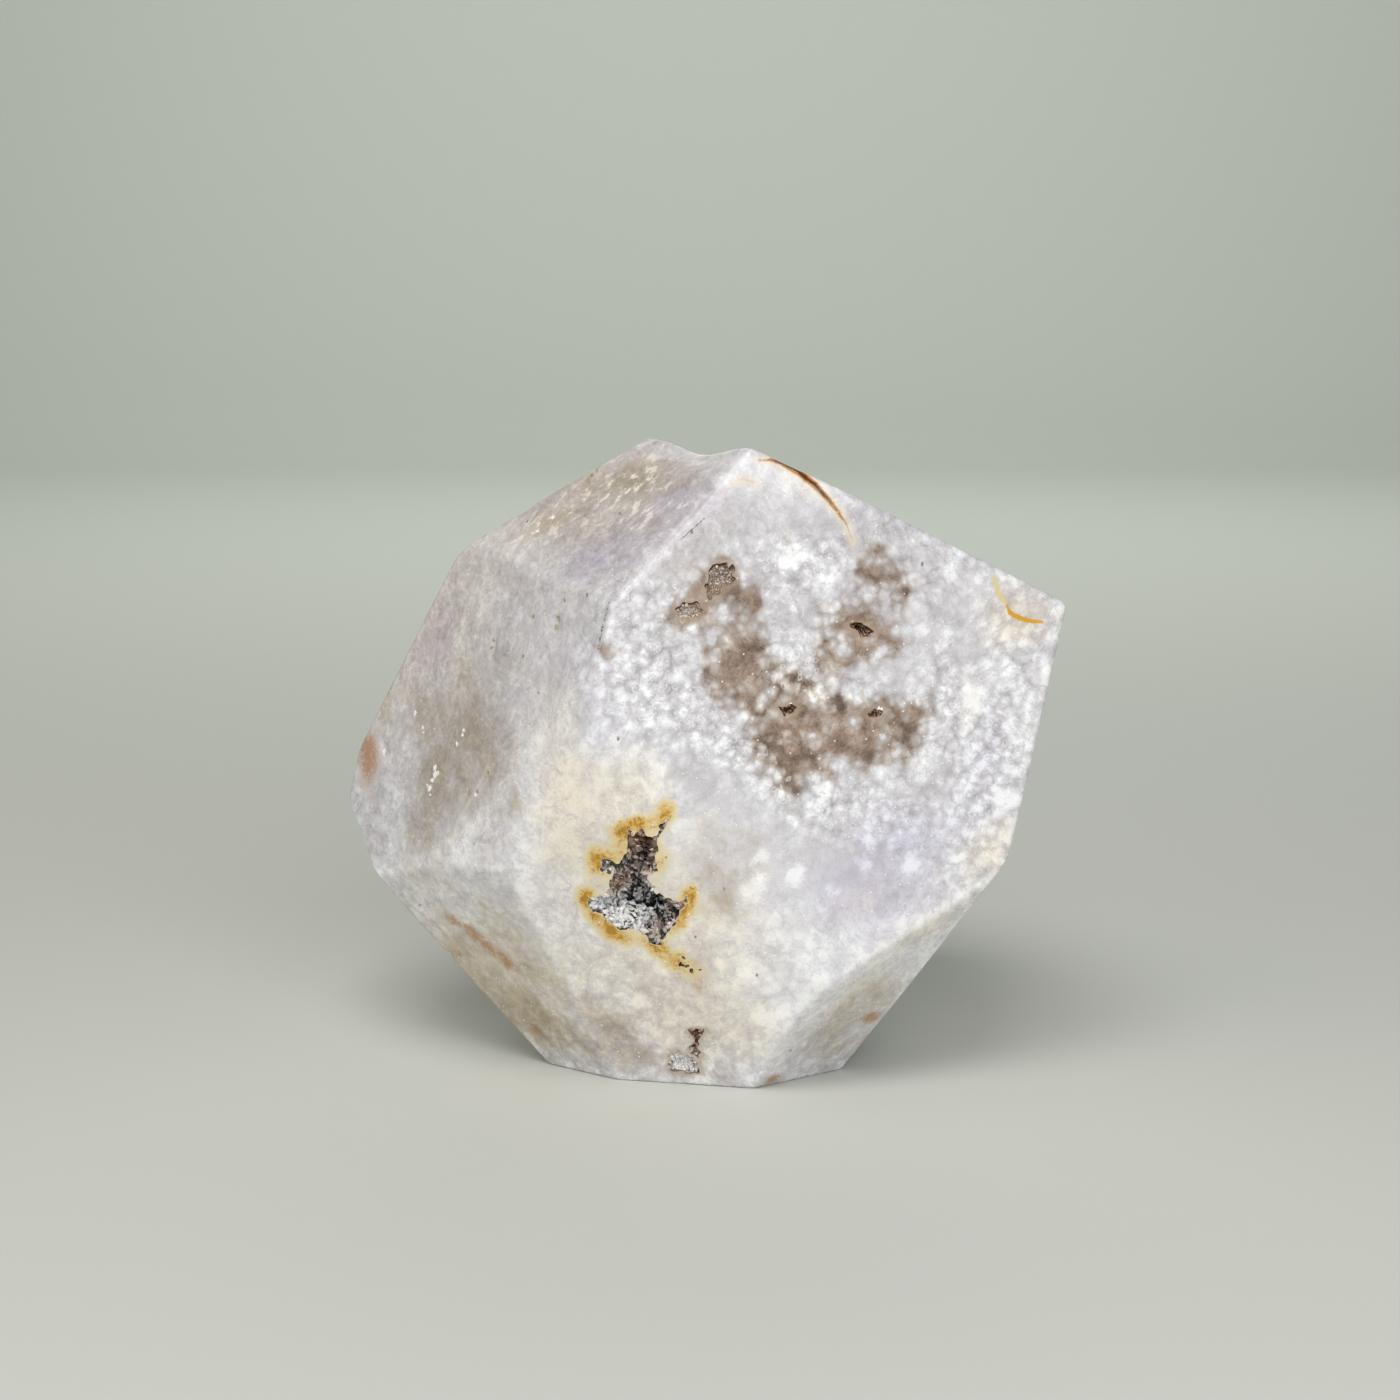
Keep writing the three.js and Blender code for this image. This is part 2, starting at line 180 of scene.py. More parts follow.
# Marks in the stone, by facet. Each is a soft spot: across, up, wide, tall, turn in degrees, strength.
marks = {
    "windows": {          # places without plumes, where grey-brown quartz shows
        "front": [
            (-5.9, 22.4, 2.5, 1.8, 45, 0.9), (-8.4, 19.7, 2.4, 1.7, 20, 1), (-2.6, 20.8, 1, 1.4, 0, 0.55),
            (6, 6.2, 4, 2.2, 0, 0.8), (-4.6, 12.6, 1.8, 1.6, 0, 0.6), (7.4, 18.2, 1.6, 1.2, 0, 0.5),
            (4.6, 3.4, 2.4, 1.2, -30, 0.5), (-3, 14.2, 2.9, 4.2, 12, 1), (10.2, 16.6, 3.6, 2.2, -14, 1),
            (6.6, 13.9, 1.5, 1.4, 0, 0.85), (1.8, 6.8, 2.7, 4.4, -6, 1), (9.8, 6.2, 5.2, 3, -8, 1.1),
            (15.2, 7.4, 2.2, 2.4, 0, 0.6), (11, 24.4, 1.5, 1.3, 0, 0.6), (12.3, 21.6, 3, 2.8, 0, 0.5),
            (1.8, 1.6, 1.2, 1.7, 0, 0.65), (-2.2, 20.3, 0.8, 0.9, 0, 0.7), (-17.3, 15.8, 1, 0.8, 0, 0.6),
        ],
        "back": [
            (3, -6.4, 5.4, 4.4, 15, 1.1), (-7.5, 4, 3.2, 2.2, 30, 0.9), (-2, -0.6, 3.8, 2.4, 40, 1),
            (7.6, -1.4, 2.6, 1.8, 0, 0.85), (-4.6, -8, 2.4, 1.8, 0, 0.75), (12, 9, 2, 1.6, 0, 0.6),
        ],
        "backTop": [(3, -4, 5, 3.2, -25, 0.45)],
        "backRight": [(-2, 3, 3.4, 5, 10, 0.42), (-1, -2, 3.4, 3, 30, 0.36)],
        "flank": [(3, 5, 5.4, 3.4, -20, 0.36), (-1, 2.4, 3.8, 2.8, 0, 0.34)],
        "nape": [(-4, -5, 4, 2.6, 20, 0.5)],
    },
    "haze": {          # thinner places, where the plumes let lilac grey through
        "front": [
            (-6.5, 1.9, 5.5, 2.6, -30, 1), (13.7, 14.4, 2.6, 5, 8, 0.9), (20.6, 18.4, 2.6, 2.2, -30, 1.2),
            (21.8, 14.1, 2.4, 2, -40, 1.1), (5.5, -8.6, 8, 3.6, -14, 1), (-1, -3.6, 5, 2.6, -35, 0.9),
            (3, 28.6, 6, 2.6, 0, 0.9), (12, 21, 4.2, 5, 0, 0.7), (-1.5, 17.5, 2.6, 5, 30, 0.7),
            (14, 3, 5, 3, 0, 0.55),
        ],
        "brow": [(4.4, 0, 4.6, 6.4, 0, 1)],
        "back": [(-4, 8, 6, 4, 20, 0.9), (6, -12, 7, 3, 0, 0.8)],
        "backTop": [(6, -2, 6, 4, 0, 0.7)],
        "backRight": [(2, -6, 4, 6, 0, 0.9)],
        "crown": [(-4, 2, 6, 3, 30, 0.8)],
        "shoulder": [(2, 12, 18, 11, 0, 1), (12, 6, 9, 9, 0, 0.9)],
    },
    "froth": {          # the densest plumes, white and bubbly
        "front": [
            (-13.9, 20.5, 5, 7.5, 6, 1.1), (-12.5, 11, 6, 4.6, -20, 1.1), (-5, 5.4, 7, 2.8, -32, 1),
            (5, -1, 6.5, 2.6, -12, 1), (3, 24.6, 6, 3.6, 0, 0.8), (17, 30, 7, 3, -25, 0.7),
            (23.8, 1, 4.5, 8, 0, 0.9), (13, -3, 5, 3, 0, 0.7), (19, 9.5, 3, 4.5, 0, 0.7),
            (27, 8, 3.4, 7, 0, 0.8), (25, 13.5, 3, 3, 0, 0.6), (2.8, 13.2, 3.6, 2.8, 0, 0.9),
        ],
        "back": [(-12, -3, 6, 7, 0, 1.1), (10, 6, 7, 4, -30, 1.1), (1, 1.6, 5, 2.4, 20, 0.9)],
        "backTop": [(-6, 2, 6, 3.5, 15, 0.9)],
        "nape": [(5, 4, 7, 4, 0, 0.9)],
        "flank": [(-6, 0, 5, 7, 0, 0.8)],
        "crown": [(5, -3, 6, 4, 0, 0.8)],
    },
    "warm": {          # cream and peach, where a little iron came in
        "brow": [
            (-1, -8, 11, 14, 0, 0.97), (-9, 2, 6, 7, 0, 0.8), (2, -19, 9, 6, 0, 0.9), (-5, 9, 5, 5, 0, 0.9),
        ],
        "front": [
            (26.9, 18, 4.4, 3.6, 0, 0.95), (24.6, -7.6, 4.4, 3.4, 40, 0.9), (3, 32, 4, 1.6, -30, 0.5),
            (27.6, 16.8, 3, 2, 0, 0.8), (22, 8.6, 2, 3.6, 0, 0.6),
        ],
        "chin": [(-14, -11, 13, 12, 0, 0.95)],
        "cheek": [(2, -2, 5, 7, 0, 0.5)],
        "toe": [(9, 0, 7, 2.6, 30, 0.8), (2, 3, 5, 2.6, 30, 0.7)],
        "shoulder": [(-5.5, 9, 4.5, 2.4, 20, 0.7), (-2.6, 14, 3, 2, 20, 0.5)],
        "back": [(12, -12, 8, 6, 0, 0.8)],
        "backLow": [(-8, 2, 9, 7, 0, 0.7)],
        "crown": [(9, 5, 7, 5, 0, 0.8), (-8, -4, 8, 5, 0, 0.6)],
        "backTop": [(-6, 4, 6, 5, 0, 0.8)],
        "flank": [(-4, -6, 7, 6, 0, 0.8), (6, -8, 6, 5, 0, 0.6), (1, 4, 9, 6, -20, 0.9)],
        "nape": [(6, -2, 6, 5, 0, 0.6)],
        "leftTop": [(6, 0, 6, 7, 0, 0.5)],
        "backRight": [(-1, 1, 7, 9, 0, 0.85)],
    },
    "lilac": {          # faint violet
        "front": [
            (10.5, -11, 7, 5, 0, 0.9), (15, -5, 6, 4, 0, 0.7), (-7, 2.2, 6, 3, -30, 0.3),
            (24, 2, 4, 9, 0, 0.45),
        ],
        "shoulder": [(5, 6, 7, 3, 22, 0.9), (11, 13, 5, 3, 40, 0.8)],
        "left": [(-16.3, 11, 4, 7, 0, 0.6), (5, 10, 4, 5, 0, 0.5), (-19, 7, 3, 5, 0, 0.4)],
        "cheek": [(5, 8, 3.6, 7, 0, 0.4)],
        "backLeft": [(0, 5, 8, 8, 0, 0.8)],
        "crown": [(2, 5, 8, 5, 0, 0.7)],
        "backRight": [(4, 6, 6, 8, 0, 0.7)],
    },
    "smoke": {          # smoky grey
        "left": [
            (-9, 0.5, 5.4, 8, 10, 0.85), (-13.6, -5, 4.6, 6, 15, 0.75), (-15.6, -10.6, 4, 4, 0, 0.7),
            (-2.5, -3, 4, 8, 10, 0.6), (-3, 9, 4, 3, 0, 0.5), (-18, 2, 3, 4, 0, 0.5),
        ],
        "chin": [
            (-14, -10, 12, 10, 0, 0.6), (-14, -17, 9, 6, 0, 0.8), (-23, -8.5, 5, 3, -40, 0.55),
            (-8.6, -19.6, 3, 3, 0, 0.8),
        ],
        "brow": [(4.8, -1, 4, 6, 0, 0.6), (-8, -22, 4, 4.4, 0, 0.9), (-5, -24.5, 3.6, 2, 0, 0.6)],
        "shoulder": [(0, 12, 14, 9, 0, 0.4)],
        "toe": [(3.4, -14, 7, 5, 0, 0.7), (6.5, -7.5, 5, 4, 0, 0.45)],
        "leftTop": [(0, -2, 5, 9, 0, 0.9)],
        "cheek": [(1.5, 10, 3, 4, 0, 0.35)],
        "backLow": [(6, -4, 8, 6, 0, 0.8)],
        "leftLow": [(0, 0, 9, 8, 0, 0.6)],
        "flank": [(0, -10, 9, 4, 0, 0.6)],
    },
    "moss": {          # greenish beige
        "shoulder": [(4, 15.4, 6, 2.8, 15, 0.9), (9.6, 15, 4, 2, 10, 0.7), (-5.8, 8.8, 3.4, 1.7, 18, 0.6)],
        "left": [(-24.6, 2, 1.6, 9, 20, 0.7)],
        "toe": [(4, -17, 8, 2.6, 0, 0.6)],
        "chin": [(-12, -18, 8, 5, 0, 0.7)],
        "crown": [(-8, 0, 5, 4, 0, 0.6)],
        "nape": [(-8, 3, 5, 3, 0, 0.6)],
    },
    "streaks": {          # banded rather than plumed
        "shoulder": [(-2, 12, 16, 10, 0, 1)],
        "left": [(-10, 2, 16, 20, 0, 0.65)],
        "cheek": [(0, 4, 4, 14, 0, 0.6)],
        "leftTop": [(0, 0, 14, 14, 0, 1)],
        "backLeft": [(0, 0, 14, 18, 0, 0.9)],
        "toe": [(5, -8, 9, 9, 0, 0.5)],
        "crown": [(0, 0, 9, 6, 0, 0.5)],
    },
    "curds": {          # cream crumbs between the bands
        "shoulder": [(2, 14, 8, 5, 10, 1), (-6, 9, 4, 3, 18, 0.8), (9, 11, 5, 4, 20, 0.6)],
        "crown": [(0, 0, 7, 5, 0, 0.8)],
        "nape": [(0, 2, 7, 5, 0, 0.7)],
        "backTop": [(5, 3, 5, 4, 0, 0.6)],
    },
    "calm": {          # even stone, with hardly a plume
        "brow": [(-2, -2, 13, 15, 0, 0.95), (8, -14, 9, 9, 0, 0.8)],
        "cheek": [(0, 0, 7, 14, 0, 0.9)],
        "chin": [(-14, -9, 14, 12, 0, 0.85)],
        "toe": [(4, -6, 12, 11, 0, 0.85)],
        "front": [
            (5, -10, 12, 4.5, -12, 0.9), (14, -5, 9, 5, 10, 0.6), (25, 14, 5, 8, 0, 0.6),
            (3, 31, 8, 4, -20, 0.6), (-3, 0, 7, 2.6, -32, 0.7), (14, 14, 3, 6, 0, 0.5),
        ],
        "flank": [(0, -9, 9, 6, 0, 0.7)],
        "crown": [(8, 4, 7, 5, 0, 0.8)],
        "backTop": [(-4, 4, 7, 4, 0, 0.7)],
        "backLow": [(0, -4, 12, 8, 0, 0.6)],
        "back": [(12, 4, 6, 9, 0, 0.5)],
    },
    "pale": {          # broad pale drifts, and painted light that lifts the sides that the lamps reach less
        "flank": [(0, 0, 14, 16, 0, 1)],
        "crown": [(0, 0, 16, 14, 0, 1)],
        "back": [(0, 0, 20, 16, 0, 1)],
        "backTop": [(0, 0, 16, 12, 0, 1)],
        "backRight": [(0, 0, 11, 18, 0, 1)],
        "nape": [(0, 0, 16, 12, 0, 0.8)],
        "backLow": [(0, 0, 16, 12, 0, 1)],
        "backLeft": [(0, 0, 12, 18, 0, 0.7)],
        "leftLow": [(0, 0, 12, 12, 0, 0.8)],
    },
    "ochreStain": {          # iron that seeped from a hollow
        "brow": [
            (-0.7, 7, 1.3, 2, -14, 1), (-3.1, 5.8, 2, 1, 10, 1), (-5.3, 4.6, 2, 1.3, -8, 1),
            (-6.4, 2.2, 2.1, 1.8, 30, 0.75), (-8.5, 0.9, 1.4, 2.1, 0, 1), (-9.9, -3.6, 1.2, 2.1, 0, 0.95),
            (-8.7, -6.4, 1.7, 1.2, -45, 0.8), (-7.6, -8, 1.8, 1.2, -30, 0.95), (-6.2, -9, 2, 1, 0, 0.8),
            (1.5, -3.4, 1, 2.1, -14, 1), (0.2, -6.2, 1.2, 2, -20, 0.75), (-0.6, 1.2, 1.7, 2.1, 0, 0.5),
            (-2.4, -10, 2.1, 1.4, -30, 0.8), (-0.9, -11.2, 2, 1.4, -30, 0.55), (0.6, -12.6, 2.4, 2, 0, 0.2),
        ],
        "back": [
            (1.6, -4, 2.3, 1.2, 20, 0.9), (6.6, -9.6, 1.6, 1.8, 0, 0.8), (-0.6, -8.2, 1.3, 1, 0, 0.7),
            (4.2, -3.2, 2.1, 1.3, 0, 0.8),
        ],
    },
    "rust": {          # brown to orange iron stains
        "chin": [
            (-17.9, -5, 2.2, 0.9, -24, 0.75), (-14.9, -7.2, 2.4, 1.1, -38, 0.85),
            (-12.2, -9.5, 2, 1, -42, 0.75), (-19.8, -9.6, 1.2, 0.7, -30, 0.6),
            (-11.9, -19.2, 0.9, 0.8, 0, 0.95),
        ],
        "left": [(-26.6, -5, 2.2, 4, 12, 0.9)],
        "toe": [(7.4, -12.8, 1.5, 1.3, 20, 0.9), (-3.4, -20.2, 1.4, 0.9, 30, 0.9)],
        "brow": [(1.6, -14.2, 1.6, 1.4, 0, 0.5), (1, -11.8, 1.7, 1.5, -20, 0.75)],
        "back": [(13, -14, 2.4, 1, -30, 0.9)],
        "nape": [(2, -6, 2.6, 0.9, 25, 0.8)],
        "backLow": [(-5, 4, 2, 1.4, 0, 0.9)],
    },
}
# Small round marks, by facet: across, up, radius.
spots = {
    "puffs": {          # puffs of plume, each alone
        "front": [
            (1.7, 24.6, 1.7), (3.1, 25.9, 1.1), (6.1, 22.2, 0.9), (2.8, 13.8, 1), (1.8, 11.9, 2.1),
            (6.2, 11, 2.2), (10.2, 14.2, 1.9), (18.8, 15.3, 1.4), (22, 9.1, 2), (15.9, 2.9, 2),
            (11.7, 1.7, 1.4), (5.4, 0.6, 1.8), (2.4, -2.8, 1.2), (11.3, -5.8, 2), (23.1, 2.9, 2.2),
            (25.2, -2.2, 1.9), (21.1, 5.2, 1), (-1.9, 8.7, 1.7), (-0.9, -6.6, 1.3), (-1.6, -10, 2.2),
            (2.9, -8.8, 1.4), (10.4, -8, 1.2), (15.7, -8.3, 1.3), (6.6, -10.6, 0.9),
        ],
        "brow": [
            (-4.7, -16.9, 1.6), (9.2, -18.3, 1.9), (4.1, -11.5, 1.2), (-5.1, 8.5, 1.1), (5.5, 0.4, 1),
            (6.8, -12.4, 1), (-3.4, 1.6, 0.8),
        ],
        "shoulder": [(3.9, 17.8, 1.2)],
        "back": [
            (-3, 2.6, 2.1), (1, 5, 1.4), (3.4, 0.2, 1.8), (11, -8, 1.7), (6, 10, 1.9), (8, -3, 1.9),
            (-8, -8, 2.3),
        ],
        "backTop": [(0, 3, 1.8)],
        "backRight": [(0, 8, 1.9)],
        "nape": [(2, 0, 2), (-3, 4, 1.3)],
        "flank": [(-3, 6, 1.8), (2, -5, 1.5)],
        "crown": [(0, 0, 1.7)],
        "backLow": [(3, 5, 1.6)],
        "backLeft": [(-4, 6, 1.7)],
        "leftTop": [(4, 6, 1.5)],
    },
    "flaws": {          # small flaws where iron settled
        "left": [
            (2.8, 13.5, 0.5), (2.6, 12.7, 0.45), (-1.3, 13.3, 0.42), (3.6, 15.6, 0.26), (3.4, 16.4, 0.2),
            (-7, 10.2, 0.34), (-7.2, 9.4, 0.3), (-24, 3, 0.3), (1.4, 5.6, 0.26), (0.6, 2.2, 0.2),
            (-0.9, -3.2, 0.36), (-0.4, -3.9, 0.26), (0.4, -8.1, 0.26), (-5.1, -3.8, 0.26), (-6.6, -6, 0.28),
            (6.7, -1.1, 0.2), (-12, 4, 0.26), (-3, 8.4, 0.22), (-16, 4.6, 0.24),
        ],
        "cheek": [(-1.8, -5, 0.3), (2.6, 1.4, 0.22), (3, -9, 0.25)],
        "chin": [(-16, -13.6, 0.25), (-8.4, -13.2, 0.3), (-10.2, -15.6, 0.22), (-22.9, -3.9, 0.4)],
        "shoulder": [(-3, 15, 0.3), (6.4, 19.6, 0.25)],
        "back": [(5, 12, 0.3)],
        "backLeft": [(2, -4, 0.35)],
        "nape": [(7, 5, 0.3)],
    },
    "glints": {          # painted highlights: white flashes where open grains catch the light
        "left": [
            (-19, 0.8, 0.3), (-17.3, -0.6, 0.26), (-17.1, -1.1, 0.2), (-10.1, 0.1, 0.24),
            (-10.2, -0.4, 0.2), (-11, -1.5, 0.26), (-24, -4.1, 0.5), (-23.6, -4.6, 0.3),
            (-14.3, -4.6, 0.34), (-14.1, -5.3, 0.4), (-13.6, -5, 0.2), (-14.5, -6, 0.3),
            (-14.8, -6.9, 0.36), (-14.6, -7.6, 0.2), (-15.3, -6.7, 0.2), (-6.8, -6.4, 0.24),
        ],
        "front": [(11.9, 8.5, 0.3), (0.9, 34.7, 0.3), (2.2, 9.5, 0.16)],
        "shoulder": [(-6.6, 7.6, 0.2), (-5.4, 9.4, 0.22)],
        "nape": [(5.2, -3, 0.3)],
        "backLow": [(2, -3, 0.3)],
    },
}

# Thin lines: facet, then the points of the line as across, up and half its width.
lines = {
    "cracks": [
        ("front", [(-1.2, 34.9, 0.08), (0.4, 34.9, 0.26), (1.6, 34.5, 0.46), (3, 33.7, 0.5),
                   (4.8, 32.2, 0.42), (6.2, 30.7, 0.32), (7.3, 29.3, 0.24), (8.2, 28, 0.13),
                   (8.9, 26.2, 0.02)]),
        ("front", [(-3.9, 32.7, 0), (-3, 33, 0.05), (-2.1, 32.8, 0.07), (-1.5, 32.4, 0)]),
        ("nape", [(-6, -2, 0.05), (-4, -0.6, 0.24), (-1.6, -0.2, 0.3), (1, -1.2, 0.2), (2.6, -2.6, 0.04)]),
        ("back", [(8, 12, 0.04), (9.2, 9.6, 0.2), (9.4, 7, 0.24), (11, 4.6, 0.16), (11.4, 3, 0.03)]),
    ],
    "ochre": [
        ("front", [(25.9, 19, 0.12), (26.3, 18.2, 0.24), (27.4, 17.6, 0.24), (28.8, 17.2, 0.2),
                   (29.9, 17.1, 0.14)]),
        ("backRight", [(-5, -4, 0.05), (-3.8, -5.4, 0.24), (-2, -6, 0.22), (-0.6, -5.8, 0.06)]),
    ],
    "paleOchre": [("front", [(24.4, 22, 0.16), (24.9, 20.6, 0.26), (25.6, 19.4, 0.18)])],
    "healed": [         # hair cracks that healed
        ("left", [(2.2, 6.4, 0), (1.6, 4, 0.03), (0.3, 1.5, 0.04), (-1.4, -0.5, 0.03), (-2.8, -1.4, 0)]),
        ("left", [(-5.4, -3, 0), (-5.9, -4.5, 0.03), (-7.6, -7.1, 0.04), (-9.4, -9.9, 0.03),
                  (-9.7, -12.1, 0.03), (-9.5, -13.9, 0)]),
        ("chin", [(-15.4, 3.6, 0), (-12.2, 4.6, 0.03), (-8.4, 5.6, 0)]),
        ("back", [(-14, 6, 0), (-10, 9, 0.03), (-4, 10.4, 0.04), (1, 13, 0)]),
        ("nape", [(-9, 4, 0), (-5, 5, 0.03), (0, 8, 0)]),
    ],
    "chips": [          # where the edge crumbled
        ("front", [(-4.6, 30.9, 0.02), (-5.4, 30.2, 0.02)]),
        ("front", [(-7, 29.1, 0.06), (-9.6, 26.9, 0.04)]),
        ("front", [(-16.9, 20.8, 0.03), (-17.6, 18.2, 0.06), (-18.1, 15.8, 0.04)]),
    ],
}
